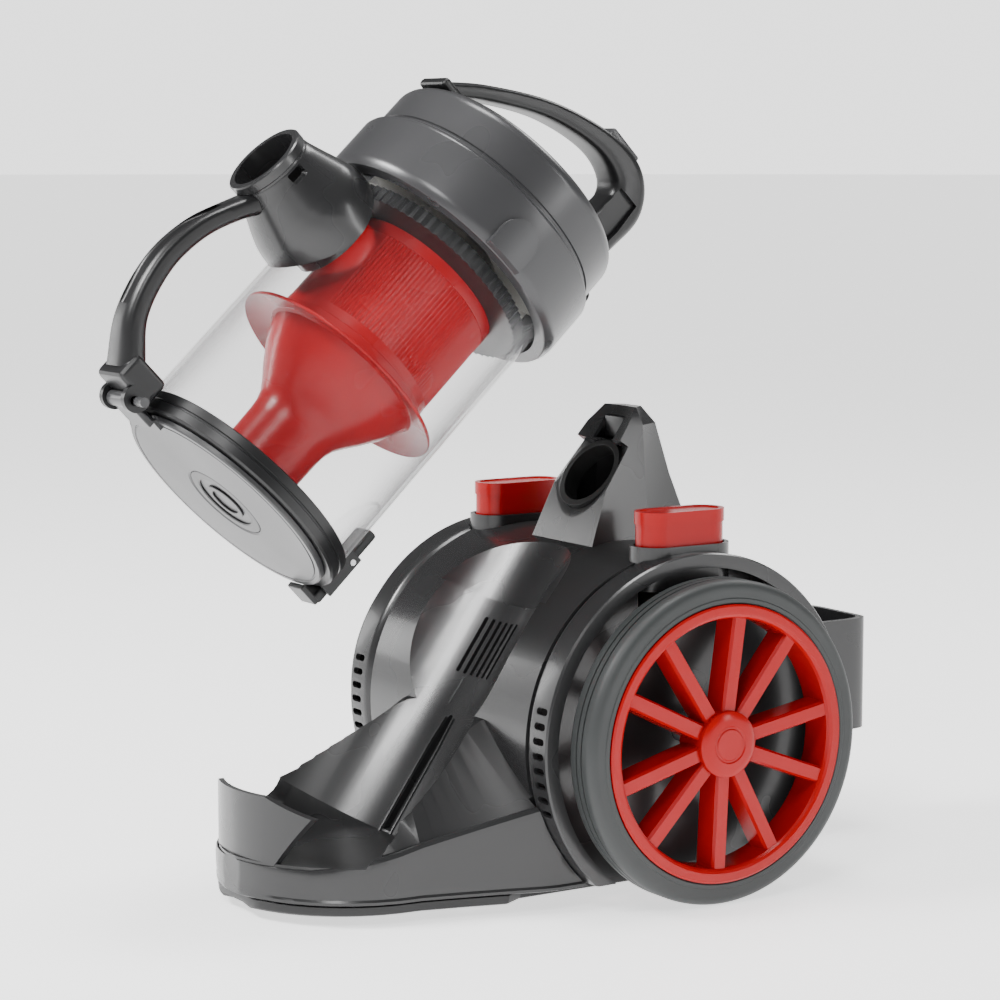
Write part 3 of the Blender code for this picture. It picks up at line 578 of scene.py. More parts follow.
# ---------------------------------------------------------------------------
# Base
# ---------------------------------------------------------------------------


def skirt_half(y):
    """Half width of the base at a distance along it."""
    if y < NOSE_Y:
        return math.sqrt(max(NOSE_R**2 - (y - NOSE_Y) ** 2, 0.0))
    share = min((y - NOSE_Y) / 78.0, 1.0)
    return NOSE_R + (SKIRT_BACK - NOSE_R) * (0.85 * share + 0.15 * share * share)


def nose_stations(inset):
    reach = NOSE_R - 0.5 - inset
    front = [NOSE_Y - reach * math.sin(math.radians(a)) for a in (90, 84, 77, 70, 62, 54, 46, 38, 29, 20, 10)]
    return front + [NOSE_Y + 9.0 * i for i in range(9)] + [-95.0, -70.0]


def nose_section(y, inset):
    half = max(skirt_half(y) - inset, 3.0)
    edge = max(34.0, 93.0 + 0.25 * y) - inset
    ridge = min(max(36.0, 64.0 + 0.56 * (y + 196.0)), 112.0) - inset
    ridge = max(ridge, edge + 0.5)
    ridge_x = min(half - 5.0, max(46.0, 75.0 - 0.42 * (y + 196.0)))
    foot = BODY_FLOOR - inset
    half_section = [
        (half - 3.4, foot - 6.0),
        (half - 3.4, foot),
        (half - 1.0, foot + 0.8),
        (half - 0.5, foot + 2.6),
        (half - 1.5, foot + 4.0),
        (half - 0.3, foot + 9.0),
        (half, edge - 7.0),
        (half - 0.2, edge - 2.4),
        (half - 1.4, edge),
        (half - 2.8, edge + 0.3),
        (half - 4.2, edge - 0.6),
        (ridge_x, ridge),
    ]
    left = [(-x, y, z) for x, z in half_section]
    return left + [(x, y, z) for x, z in reversed(half_section)]


def nose_block(inset):
    return loft([nose_section(y, inset) for y in nose_stations(inset)])


def spine_block(inset):
    """The tower that holds the port and the bin's catch."""
    rings = []
    for height, front, back, half in SPINE_SECTIONS:
        front, back, half = front + inset, back - inset, half - inset
        z = height - (inset if height > SPINE_TOP_FROM else 0)
        rings.append(
            [
                (-half, front, z),
                (half, front, z),
                (half, (front + back) / 2, z),
                (half * 0.55, back, z),
                (-half * 0.55, back, z),
                (-half, (front + back) / 2, z),
            ]
        )
    return loft(rings)


def cradle_cutter(inset):
    """What the docked bin's room takes away: trough, lid recess and the open floor in front of the foot."""
    tilt = math.asin(DOCKED.col[2].xyz.normalized().z)
    trough = rod(TROUGH_R + inset, (0, 0, -12), (0, 0, RECESS_END + inset), 128)
    recess = rod(RECESS_R + inset, (0, 0, RECESS_START - inset), (0, 0, RECESS_END + inset), 128)
    handle_room = rod(HANDLE_ROOM_R + inset, (0, 0, RECESS_END - 5.0), (0, 0, 330), 128)
    trough = moved(joined(trough, recess, handle_room), (0, 0, 0), DOCKED)
    lip = [
        (
            TROUGH_R * math.sin(math.radians(a)),
            FOOT.y - math.sin(tilt) * TROUGH_R * (1 - math.cos(math.radians(a))) + inset,
        )
        for a in range(-56, 57, 4)
    ]
    rings = []
    for i in range(9):
        height = 64.0 - 28.0 * i / 8 - (inset if i == 8 else 0.0)
        start = lip[-1][1] - 4.0 - 28.0 * (i / 8) ** 2.2
        rings.append([(x, y, height) for x, y in front_of_foot(lip, start)])
    rings.insert(0, [(x, y, 160.0) for x, y in front_of_foot(lip, lip[-1][1] - 4.0)])
    return joined(trough, loft(rings))


def front_of_foot(lip, start):
    """The open space ahead of the cradle's curved foot and of the start line beside it."""
    return [*lip, (78, start), (120, start), (120, -330), (-120, -330), (-120, start), (-78, start)]


def collar_outline(margin):
    width, length = BUTTON_SIZE
    return pill(width + 2 * margin, length + 2 * margin)


def body_block(inset):
    """The whole upper body as a solid, shrunk by the inset on every side."""
    drum = rod(DRUM_R - inset, (-DRUM_HALF + inset, 0, WHEEL_R), (DRUM_HALF - inset, 0, WHEEL_R), 144)
    body = joined(drum, nose_block(inset), spine_block(inset))
    for side in (-1, 1):
        near, far = side * (COVER_NEAR - inset), side * 140.0
        body = cut(body, rod(COVER_R + 0.6 + inset, (near, 0, WHEEL_R), (far, 0, WHEEL_R), 144))
    return cut(body, cradle_cutter(inset))


def fence_shape():
    """The curved wall that stands on the nose, level in the middle and with its ends cut back at the foot."""
    outer = arc(NOSE_R - 2.0, 222, 318, 64, (0, NOSE_Y))
    inner = arc(NOSE_R - 5.5, 318, 222, 64, (0, NOSE_Y))
    ring = plate(outer + inner, STEP_FLOOR - 4.0, FENCE_TOP)
    front = [(-33, 30), (33, 30), (57, 65), (30, FENCE_TOP), (-30, FENCE_TOP), (-57, 65)]
    # The outline's Y becomes the height.
    return kept(ring, moved(plate(front, 200.0, 300.0), (0, 0, 0), UPRIGHT))


def grille_slots():
    slots = []
    for i in range(6):
        x = -17.5 + 7.0 * i
        slot = block((x - 1.6, TROUGH_R - 12, 100), (x + 1.6, TROUGH_R + 14, 140), 1.2, 2)
        slots.append(moved(slot, (0, 0, 0), DOCKED))
    return slots


def latch_groove(margin):
    """A narrow channel up the trough's lowest line, closed at its top."""
    rings = []
    for s, half, depth in ((-20.0, 5.2, 4.0), (50.0, 4.8, 4.0), (68.0, 3.2, 3.6), (72.0 + margin, 1.4, 3.0)):
        half, far = half + margin, TROUGH_R + depth + margin
        rings.append([(-half, 80, s), (half, 80, s), (half, far, s), (-half, far, s)])
    above_floor = block((-40, -240, STEP_FLOOR + 1.0 - margin), (40, 60, 200))
    return kept(moved(loft(rings), (0, 0, 0), DOCKED), above_floor)


def trough_ribs():
    """Low ribs on the trough: one each side of the channel, and a short one above its end."""
    ribs = []
    for side in (-1, 1):
        rings = []
        for s, middle in ((-14.0, 6.6), (50.0, 6.1), (70.0, 4.4)):
            x = side * middle
            rings.append([(x - 0.7, 88.0, s), (x + 0.7, 88.0, s), (x + 1.0, 91.0, s), (x - 1.0, 91.0, s)])
        ribs.append(loft(rings))
    ribs.append(block((-10.2, 88.0, 79), (-8.2, 91.0, 98), 0.5))
    return [moved(rib, (0, 0, 0), DOCKED) for rib in ribs]


def port_shape(margin, near, far):
    tube = plate(ellipse(PORT_RX + margin, PORT_RS + margin), -far, -near)
    return moved(moved(tube, (0, 0, PORT_S), UPRIGHT), (0, 0, 0), DOCKED)


def exhaust_sector(margin, low, high):
    outline = arc(high, 24 - margin, 56 + margin, 24) + arc(low, 56 + margin, 24 - margin, 24)
    shape = plate(outline, -52.0 - margin * 2, 52.0 + margin * 2)
    return moved(shape, (0, 0, WHEEL_R), STANDING)


def housing():
    body = body_block(0.0)
    for side in (-1, 1):
        collar = plate(collar_outline(3.0), 190.0, COLLAR_TOP)
        body = joined(body, moved(collar, (side * BUTTON_X, BUTTON_Y, 0)))
    inside = cut(body_block(WALL), latch_groove(WALL))
    body = cut(body, inside, block((-200, -320, -60), (200, 240, BODY_FLOOR)))
    above_floor = block((-60, -240, STEP_FLOOR - 1.0), (60, 60, 240))
    body = joined(body, fence_shape(), kept(gathered(*trough_ribs()), above_floor))
    for side in (-1, 1):
        well = plate(collar_outline(0.4), 150.0, COLLAR_TOP + 1)
        body = cut(body, moved(well, (side * BUTTON_X, BUTTON_Y, 0)))
    room = Vector((GAP, GAP, GAP))
    catch = block((CATCH_LOW.x - GAP, -30, CATCH_LOW.z - GAP), CATCH_HIGH + room, 0.8)
    port = port_shape(0.0, PORT_DEPTH - 20.0, PORT_DEPTH + 22.0)
    body = cut(body, *grille_slots(), port, catch, latch_groove(0.0), exhaust_sector(0.0, 80.0, 130.0))
    return cut(body, rod(7.3, (OUTLET_X, 80, OUTLET_Z), (OUTLET_X, 140, OUTLET_Z), 32))


def build_base():
    look, black, rubber = LOOKS["charcoal_gloss"], LOOKS["black_satin"], LOOKS["soft_rubber"]
    show(housing(), "housing_shell", "base", look, BASE, ["upper_housing"], bevel=0.8)
    show(chassis_pan(), "underside_pan", "base", black, BASE, ["chassis_pan"], bevel=0.6)
    seal = port_shape(-GAP, PORT_DEPTH, PORT_DEPTH + 12.0)
    seal = cut(seal, port_shape(-4.5, PORT_DEPTH - 5.0, PORT_DEPTH + 30.0))
    show(seal, "port_lip", "base", rubber, BASE, ["spine_port_seal"], bevel=1.2, segments=3)
    catch_bar = block(CATCH_LOW, CATCH_HIGH, 0.8)
    show(catch_bar, "catch_bar", "base", black, BASE, ["bin_catch"])
    show(parking_bracket(), "bracket_shell", "base", look, BASE, ["parking_bracket"], bevel=0.9)
    show(exhaust_grille(), "exhaust_louvres", "base", black, BASE, ["exhaust_grille"], bevel=0.3)
    show(cord_outlet(), "cord_grommet", "base", rubber, BASE, ["cord_outlet"], bevel=0.6, segments=3)
    for side, name in ((1, "left"), (-1, "right")):
        cover = arch_cover(side)
        show(cover, f"arch_{name}", "base", look, BASE, [f"arch_cover_{name}"], bevel=0.7, segments=3)


def pan_outline(margin):
    """The pan's edge: round the nose, back along the skirt, in behind the wheels."""
    round_nose = [NOSE_Y - NOSE_R * math.cos(math.radians(a)) + 1.0 for a in range(15, 91, 5)]
    half = [(skirt_half(y) - margin, y) for y in round_nose + [-150.0, -125.0]]
    half = [(6.0, NOSE_Y - NOSE_R + margin + 0.6)] + half + [(92.0 - margin, -112.0), (92.0 - margin, 69.0)]
    return half + [(-x, y) for x, y in reversed(half)]


def chassis_pan():
    outside = ((7.5, 6.0), (4.0, 7.2), (3.2, 9.5), (3.0, BODY_FLOOR - 0.3))
    inside = ((9.0, 9.0), (6.5, 20.0))
    pan, hollow = (
        loft([[(x, y, z) for x, y in pan_outline(edge)] for edge, z in rings]) for rings in (outside, inside)
    )
    caster = place("caster_swivel") / MM - Vector((0, AXLE.y / MM, 0))
    pan = cut(pan, hollow, rod(25.0, (0, caster.y, 0.0), (0, caster.y, 12.0), 64))
    cup = [(3.4, 32.0), (27.0, 32.0), (29.0, 30.0), (29.0, 6.0), (24.0, 6.0), (24.0, 29.0), (3.4, 29.0)]
    pan = joined(pan, moved(turned(cup, 64), (0, caster.y, 0)))
    for i in range(4):
        low, high = size_of(f"chassis_screw_{i + 1}")
        x, y = (low.x + high.x) / 2, (low.y + high.y) / 2 - AXLE.y / MM
        pan = joined(pan, rod(7.0, (x, y, 6.6), (x, y, 11.5), 48))
        pan = cut(pan, rod(2.6, (x, y, 0), (x, y, 20), 24), rod(5.0, (x, y, 0), (x, y, 9.2), 48))
    return pan


def arch_cover(side):
    """A dish beside the body that the wheel turns in, with vents in the front of its rim."""
    low, high = COVER_NEAR, COVER_FAR
    dish = turned(
        [
            (COVER_R - 0.9, high),
            (COVER_R, high - 1.4),
            (COVER_R, low + 6.5),
            (COVER_R - 1.2, low + 3.4),
            (COVER_R - 4.0, low),
            (6.3, low),
            (6.3, low + WALL),
            (COVER_R - 5.0, low + WALL),
            (COVER_R - 3.0, low + 7.0),
            (COVER_R - 3.0, high - 3.2),
            (COVER_R - 4.0, high - 2.0),
            (COVER_R - 9.0, high - 2.0),
            (COVER_R - 9.0, high - 0.4),
            (COVER_R - 4.2, high),
        ],
        160,
    )
    dish = moved(dish, (0, 0, WHEEL_R), ACROSS)
    dish = cut(dish, block((80, -130, -40), (130, 130, 16)))
    dish = cut(dish, moved(plate(collar_outline(3.6), 170.0, 240.0), (BUTTON_X, BUTTON_Y, 0)))
    for i in range(8):
        angle = math.radians(180 - 13 + 4.6 * i)
        centre = Vector((110.0, COVER_R * math.cos(angle), WHEEL_R + COVER_R * math.sin(angle)))
        slot = moved(plate(pill(4.2, 11.5, 8), -8, 8), (0, 0, 0), Matrix.Rotation(math.radians(90), 4, "Z"))
        dish = cut(dish, moved(slot, centre, Matrix.Rotation(angle - math.pi / 2, 4, "X")))
    return mirrored(dish) if side < 0 else dish


def parking_bracket():
    low, high = size_of("parking_bracket")
    half, back = high.x, high.y - AXLE.y / MM
    front = 100.0
    middle = (front + back) / 2
    outside = moved(plate(superellipse(half, (back - front) / 2, 7.0, 72), low.z, high.z), (0, middle, 0))
    inner_half, inner_front, inner_back = half - 4.0, 116.0, back - 4.0
    inner = superellipse(inner_half, (inner_back - inner_front) / 2, 6.0, 72)
    hollow = plate(inner, low.z + 6.0, high.z + 15.0)
    shape = cut(outside, rod(DRUM_R + GAP, (-60, 0, WHEEL_R), (60, 0, WHEEL_R), 144))
    return cut(shape, moved(hollow, (0, (inner_front + inner_back) / 2, 0)))


def exhaust_grille():
    grille = exhaust_sector(-0.2, DRUM_R - 2.2, DRUM_R - 0.2)
    for i in range(5):
        angle = math.radians(29.0 + 5.5 * i)
        centre = Vector((0, DRUM_R * math.cos(angle), WHEEL_R + DRUM_R * math.sin(angle)))
        for middle in (-24.5, 24.5):
            slot = block((middle - 21, -1.9, -9), (middle + 21, 1.9, 9), 1.2)
            grille = cut(grille, moved(slot, centre, Matrix.Rotation(angle - math.pi / 2, 4, "X")))
    return grille


def cord_outlet():
    """The rubber grommet in the back wall that the mains cord would run out of."""
    ring = turned([(11.0, 6.0), (11.0, 2.0), (6.9, 2.0), (6.9, -6.0), (4.0, -6.0), (4.0, 6.0)], 48)
    return moved(ring, (OUTLET_X, 112.5, OUTLET_Z), Matrix.Rotation(math.radians(-90), 4, "X"))


def button_cap():
    body = plate(collar_outline(-0.8), COLLAR_TOP - 7.0, BUTTON_TOP - 7.0)
    rim = plate(collar_outline(0.0), BUTTON_TOP - 8.0, BUTTON_TOP)
    cap = joined(body, rim)
    return cut(cap, plate(collar_outline(-3.2), BUTTON_TOP - 0.7, BUTTON_TOP + 5.0))


def build_buttons():
    for side, name in ((1, "power"), (-1, "rewind")):
        cap = moved(button_cap(), (side * BUTTON_X, BUTTON_Y, 0))
        red, node = LOOKS["red_gloss"], f"{name}_button"
        show(cap, f"{name}_cap", f"{name}_key", red, BASE, [node], bevel=0.9, segments=3)


# ---------------------------------------------------------------------------
# Wheels
# ---------------------------------------------------------------------------


def polar(radius, angle):
    return Vector((radius * math.cos(math.radians(angle)), radius * math.sin(math.radians(angle)), 0))


def spoke(inner, outer, half, low, high):
    """A bar that narrows slightly towards its outer face."""
    side = Vector((0, 0, 1)).cross((outer - inner).normalized())
    rings = []
    for z, width in ((low, half + 0.5), (high - 2.0, half), (high, half - 1.2)):
        foot = [inner - side * width, outer - side * width, outer + side * width, inner + side * width]
        rings.append([p + Vector((0, 0, z)) for p in foot])
    return loft(rings)


def tyre():
    near, far = TYRE_NEAR, TYRE_FAR
    seat = RIM_R + 0.3
    tread = [(WHEEL_R, far - 7.0)]
    for middle in (far - 10.5, near + 9.5):
        tread += [(WHEEL_R, middle + 0.7), (WHEEL_R - 1.0, middle + 0.5)]
        tread += [(WHEEL_R - 1.0, middle - 0.5), (WHEEL_R, middle - 0.7)]
    tread += [(WHEEL_R, near + 5.0)]
    outer_shoulder = [
        (WHEEL_R - 6.0 + 6.0 * math.cos(math.radians(a)), far - 7.0 + 6.6 * math.sin(math.radians(a)))
        for a in range(90, 0, -10)
    ]
    inner_shoulder = [
        (WHEEL_R - 5.0 + 5.0 * math.cos(math.radians(a)), near + 5.0 - 5.0 * math.sin(math.radians(a)))
        for a in range(10, 91, 10)
    ]
    bead = [(seat + 2.2, near), (seat, near + 2.5), (seat, far - 0.8), (seat + 0.8, far), (seat + 3.0, far)]
    bead += [(seat + 3.6, far - 0.6), (seat + 4.4, far - 0.6)]
    return turned(outer_shoulder + tread + inner_shoulder + bead, 160)


def rim():
    near, face = TYRE_NEAR + 2.6, 147.7
    ring = [(RIM_R, face - 0.8), (RIM_R, near), (77.0, near), (77.0, face - 3.0), (78.0, face - 1.2)]
    ring += [(79.6, face - 0.2), (81.5, face), (84.4, face)]
    wheel = turned(ring, 160)
    hub = turned([(20, HUB_FACE), (20, near), (9.3, near), (9.3, HUB_FACE)], 96)
    wheel = joined(wheel, hub)
    for i in range(5):
        middle = 72.0 * i + SPOKE_START
        for lean in (-1, 1):
            inner = polar(17.0, middle + lean * 20.0)
            outer = polar(79.0, middle + lean * SPOKE_SPREAD)
            wheel = joined(wheel, spoke(inner, outer, SPOKE_HALF, 128.0, 144.6))
    return wheel


def hub_cap():
    face = [(0, 149.6), (9.2, 149.5), (9.9, 148.8), (10.9, 148.8), (11.6, 149.4), (15.5, 149.1)]
    face += [(18.6, 148.3), (20.2, 147.2), (20.5, 146.2), (20.5, 145.8), (0, 145.8)]
    return turned(face, 96, closed=False)


def build_wheels():
    for side, name in ((1, "left"), (-1, "right")):
        made = (
            (tyre(), "tyre", "tyre_tread", 0.0),
            (rim(), "rim", "red_gloss", 0.8),
            (hub_cap(), "hub_cap", "red_gloss", 0.0),
        )
        for shape, kind, look, bevel in made:
            moved(shape, (0, 0, WHEEL_R), ACROSS)
            if side < 0:
                mirrored(shape)
            node = f"{name}_wheel_{kind}"
            show(shape, f"{name}_{kind}", f"{name}_wheel", LOOKS[look], BASE, [node], bevel, sharp=35.0)


# ---------------------------------------------------------------------------
# Dust bin
# ---------------------------------------------------------------------------


def clear_wall():
    low, high = 8.3, 206.0
    wall = turned([(BIN_R, high), (BIN_R, low), (BIN_R - BIN_WALL, low), (BIN_R - BIN_WALL, high)], 192)
    return cut(wall, rod(26.6, (0, -50, INLET_Z), (0, -100, INLET_Z), 64))


def wall_arch():
    """A raised arch on the clear wall, round the place of the latch."""
    points = []
    for i in range(25):
        t = math.radians(180.0 * i / 24)
        x, z = 19.0 * math.cos(t), 40.0 + 26.0 * math.sin(t)
        points.append((x, math.sqrt(BIN_R**2 - x**2) + 0.1, z))
    legs = [(19.0, points[0][1], 16.0)] + points + [(-19.0, points[-1][1], 16.0)]
    curve = bpy.data.curves.new("arch", "CURVE")
    curve.dimensions = "3D"
    curve.bevel_depth = 0.9
    curve.bevel_resolution = 3
    curve.use_fill_caps = True
    spline = curve.splines.new("POLY")
    spline.points.add(len(legs) - 1)
    for point, spot in zip(spline.points, legs):
        point.co = (*spot, 1.0)
    shape = bpy.data.objects.new("arch", curve)
    bpy.context.scene.collection.objects.link(shape)
    return baked(shape)


def bottom_ring():
    outside = [(RING_R - 0.8, 14), (RING_R, 13.2), (RING_R, 8.4), (RING_R - 0.8, 7.8)]
    outside += [(RING_R - 0.8, 7.0), (RING_R, 6.4), (RING_R, 1.2), (RING_R - 1.2, 0)]
    outside += [(70, 0), (70, 8), (76.3, 8), (76.3, 14)]
    ring = turned(outside, 160)
    for x in (-14, 11.3):
        ring = joined(ring, block((x, 76.8, 1), (x + 2.7, 87.2, 31), 0.6))
    return cut(ring, across(2.2, 20, BIN_LATCH))


def eased(profile, steps=5):
    """The points of a profile with smooth bends between them."""
    return [(p.x, p.y) for p in smooth_path([(r, z, 0.0) for r, z in profile], steps)]


def spout(margin, segments=128):
    """The inlet's outside: a hood that widens from its round mouth to the bin's wall."""
    mouth = [(0, 128), (25.2, 128), (26, 127.2), (26, 122.4), (25.5, 121.6), (25.6, 120.4)]
    hood = eased([(25.9, 120), (27.2, 115.5), (30.8, 106), (35.0, 95.5), (37.9, 86), (39, 76), (39, 60)])
    profile = [(r + (margin if r else 0.0), z) for r, z in mouth + hood] + [(0, 60)]
    return moved(turned(profile, segments, closed=False), (0, 0, INLET_Z), UPRIGHT)


def inlet_elbow():
    flange = rod(BIN_R + GAP, (0, 0, 90), (0, 0, 230), 160)
    flange = cut(flange, rod(26.3, (0, -60, INLET_Z), (0, -100, INLET_Z), 64))
    elbow = cut(spout(0.0), flange, rod(INLET_BORE, (0, -130, INLET_Z), (0, -50, INLET_Z), 64))
    return cut(elbow, block((15, -119, INLET_Z - 5.5), (30, -112, INLET_Z + 5.5), 1.0))


def strap():
    """The grip from the inlet down to the flap's hinge, with its foot and the hinge's ears."""
    points = [(0, -108, 143), (0, -120, 121), (0, -130, 94), (0, -132, 64), (0, -123, 32), (0, -104, 8)]
    halves = [(14.5, 8.0), (11.6, 6.4), (11.0, 6.6), (11.2, 7.0), (12.4, 7.4), (15.0, 8.6)]
    bar = band(points, halves, 10)
    hollow = [(0, -127.5, 116), (0, -137.2, 92), (0, -139.6, 64), (0, -131.5, 33)]
    bar = cut(bar, band(hollow, [(5.0, 1.8), (6.4, 2.2), (6.6, 2.2), (6.0, 1.8)], 10))
    foot = block((-17, -110, -3.6), (17, -83, 15), 4.0)
    y, z = BIN_HINGE.y, BIN_HINGE.z
    ears = [rod(8.2, (x, y, z + 1.5), (x + 4.4, y, z + 1.5), 64) for x in (-17, STRAP_GAP)]
    bar = joined(bar, foot, *ears)
    wall_room = rod(BIN_R + GAP, (0, 0, 14.4), (0, 0, 200), 160)
    ring_room = rod(79.0, (0, 0, -20), (0, 0, 15), 160)
    bar = cut(bar, spout(GAP, 64), wall_room, ring_room)
    bar = cut(bar, across(5.4, STRAP_GAP, BIN_HINGE, 48))
    return cut(bar, across(2.8, 30, BIN_HINGE))


def cyclone_funnel():
    outside = [(54.5, 113), (54.8, 107.2), (71.0, 102.6), (UMBRELLA_R, 101.6)]
    outside += [(71.0, 100.4), (54.4, 105.4), (52.6, 104.0)]
    outside += [(46, 90), (39, 79), (32.5, 70), (28.5, 63.5), (26.6, 57), (26.0, 50), (25.5, 24), (25.5, 5)]
    inside = [(23.5, 5), (23.5, 50), (24.4, 58), (27.5, 67), (36, 79), (43.5, 91)]
    inside += [(50.2, 106), (51.5, 111), (51.5, 113)]
    return turned(outside + inside, 160)


def shroud():
    """The tube above the umbrella: finely ribbed, with a plain panel across its front."""
    ribs, plain = 120, (-150.0, -60.0)
    outline = []
    for i in range(2 * ribs):
        angle = 180.0 * i / ribs - 180.0
        radius = SHROUD_R - 0.3 if i % 2 or plain[0] < angle < plain[1] else SHROUD_R - 1.1
        outline.append(tuple(polar(radius, angle).xy))
    rings = [[(x, y, z) for x, y in outline] for z in (118.0, 177.0)]
    foot_band = rod(SHROUD_R, (0, 0, 113.3), (0, 0, 119.5), 150)
    top_band = rod(SHROUD_R, (0, 0, 175.5), (0, 0, 183), 150)
    tube = joined(loft(rings), foot_band, top_band)
    return cut(tube, rod(SHROUD_R - 2.2, (0, 0, 100), (0, 0, 200), 90))


def separator_ring():
    """The ring under the lid, its outer edge pleated."""
    outline = []
    for i in range(144):
        outline.append(tuple(polar(SEPARATOR_R - (0.0 if i % 2 else 1.6), 2.5 * i).xy))
    pleats = plate(outline, 185.5, 195.0)
    flare = turned([(0, 186.5), (69, 186.5), (54, 183.3), (0, 183.3)], 96, closed=False)
    return cut(joined(pleats, flare), rod(46.0, (0, 0, 170), (0, 0, 210), 96))


def build_bin():
    body, black, clear = "dust_bin", LOOKS["black_satin"], LOOKS["clear_shell"]
    grey, red = LOOKS["charcoal_gloss"], LOOKS["cyclone_red"]
    show(clear_wall(), "clear_wall", body, clear, BIN, ["bin_cylinder"], bevel=0.5)
    show(wall_arch(), "wall_arch", body, clear, BIN)
    show(bottom_ring(), "bottom_ring", body, black, BIN, ["bin_bottom_ring"], bevel=0.6)
    show(inlet_elbow(), "inlet_spout", body, grey, BIN, ["inlet_elbow"], bevel=0.7, segments=3)
    show(strap(), "strap", body, black, BIN, ["strap_handle"], bevel=0.7)
    show(cyclone_funnel(), "funnel", body, red, BIN, ["cyclone_funnel"], bevel=0.3)
    show(shroud(), "ribbed_shroud", body, red, BIN, ["cyclone_shroud"])
    show(separator_ring(), "pleated_ring", body, black, BIN, ["separator_ring"], bevel=0.3)


def flap_disc():
    profile = [(0, -1.2), (13, -1.2), (13, -0.6), (73, -0.6), (73, -3.0), (72.2, -3.9)]
    profile += [(69.6, -4.0), (69.2, -3.4)]
    profile += [(68.6, -3.4), (68.2, -4.0), (28.2, -4.0), (27, -3.2), (27, -2.4), (0, -2.4)]
    disc = turned(profile, 160, closed=False)
    lug = block((-12, -92, -9.6), (12, -72, -4.2), 0.8)
    knuckle = across(4.8, 12, BIN_HINGE, 48)
    disc = joined(disc, lug, knuckle, block((-12, -74, -6), (12, -66, -2)))
    return cut(disc, across(2.9, 30, BIN_HINGE))


def latch_lever():
    lever = joined(
        block((-9, 80.5, -6), (9, 87.4, 50), 2.0),
        block((-9, 71, -8.2), (9, 86, -4.4), 1.0),
    )
    for i in range(4):
        lever = joined(lever, block((-7.5, 86.5, 37 + 3.0 * i), (7.5, 87.7, 38.3 + 3.0 * i), 0.4))
    return cut(lever, across(2.3, 30, BIN_LATCH))


def build_flap():
    black = LOOKS["black_satin"]
    show(flap_disc(), "flap_disc", "flap", LOOKS["flap_grey"], BIN, ["bin_flap"], bevel=0.4)
    outer = turned([(26.6, -2.5), (26.6, -3.3), (25.6, -3.7), (20.5, -3.7), (19.6, -3.2), (19.6, -2.5)], 96)
    show(outer, "flap_ring_outer", "flap", black, BIN, bevel=0.2)
    inner = turned([(13.5, -2.5), (13.5, -3.4), (12.9, -3.7), (10.2, -3.7), (9.6, -3.4), (9.6, -2.5)], 96)
    show(inner, "flap_ring_inner", "flap", black, BIN, bevel=0.2)
    show(latch_lever(), "latch_lever", "latch", black, BIN, ["flap_latch"], bevel=0.4)


def plate_tube(rx, rz, near, far, height):
    tube = plate(ellipse(rx, rz), -far, -near)
    return moved(tube, (0, 0, height), UPRIGHT)


def collar():
    """The ring that grips the bin's wall, with a raised tab on its side."""
    profile = [(84.5, 236), (86.6, 236), (COLLAR_R - 0.6, 235), (COLLAR_R, 233.4), (COLLAR_R, 203)]
    profile += [(COLLAR_R - 0.8, 199.4), (86, 196.4), (84.4, 196), (78, 196), (78, 209.4)]
    profile += [(70, 209.4), (70, 213), (84.5, 216)]
    ring = turned(profile, 192)
    under, over = COLLAR_R - 1.0, COLLAR_R + TAB_RISE
    skin = turned([(under, 196.5), (over, 198.0), (over, 230), (under, 230)], 192)
    tab = moved(plate(pill(27.0, 52.0), 60.0, 100.0), (0, 0, 198.0), STANDING)
    tab = moved(kept(skin, tab), (0, 0, 0), Matrix.Rotation(math.radians(TAB_TURN), 4, "Z"))
    return joined(ring, tab)


def cap():
    shell = [(0, LID_TOP - 2.2), (52, LID_TOP - 2.2), (54, LID_TOP - 0.4), (56, LID_TOP), (74.5, LID_TOP)]
    shell += [
        (74.5 + (CAP_R - 74.5) * math.sin(math.radians(a)), LID_TOP - 9.0 + 9.0 * math.cos(math.radians(a)))
        for a in range(15, 91, 15)
    ]
    shell += [(CAP_R, 241), (CAP_R - 0.9, 240.4), (CAP_R - 0.9, 239.4), (CAP_R, 238.8), (CAP_R, 236.4)]
    shell += [(81, 236.4), (81, 260), (72, 264), (0, 265)]
    return cut(turned(shell, 192, closed=False), plate_tube(20.3, 12.3, 60, 100, 251))


def carry_handle():
    """The grip over the lid: a thin bow in front that thickens into the hollow-sided leg at its back."""
    points = [(0, -74, 273), (0, -52, 293), (0, -14, 319), (0, 26, 334)]
    points += [(0, 54, 333.5), (0, 68, 319), (0, 67, 296), (0, 62, 274)]
    halves = [(14.0, 5.0), (12.5, 5.4), (12.5, 6.2), (13.2, 8.0)]
    halves += [(14.2, 11.6), (15.0, 13.6), (16.5, 14.2), (18.0, 15.5)]
    loop = band(points, halves, 10, 3.6)
    loop = cut(loop, block((-40, -100, 220), (40, 100, LID_TOP + GAP)))
    front_foot = block((-15, -82, LID_TOP + GAP), (15, -60, 276.5), 2.5)
    loop = joined(loop, front_foot)
    for side in (-1, 1):
        near, far = side * 11.5, side * 30
        pocket = [
            [(near, y, z), (near, y + depth, z), (far, y + depth, z), (far, y, z)]
            for y, depth, z in ((52, 18, 276), (56, 17, 300), (56, 16, 322))
        ]
        loop = cut(loop, loft(pocket))
    return cut(loop, block((-9.4, 27, HANDLE_RECESS_FLOOR), (9.4, 55, 370)))


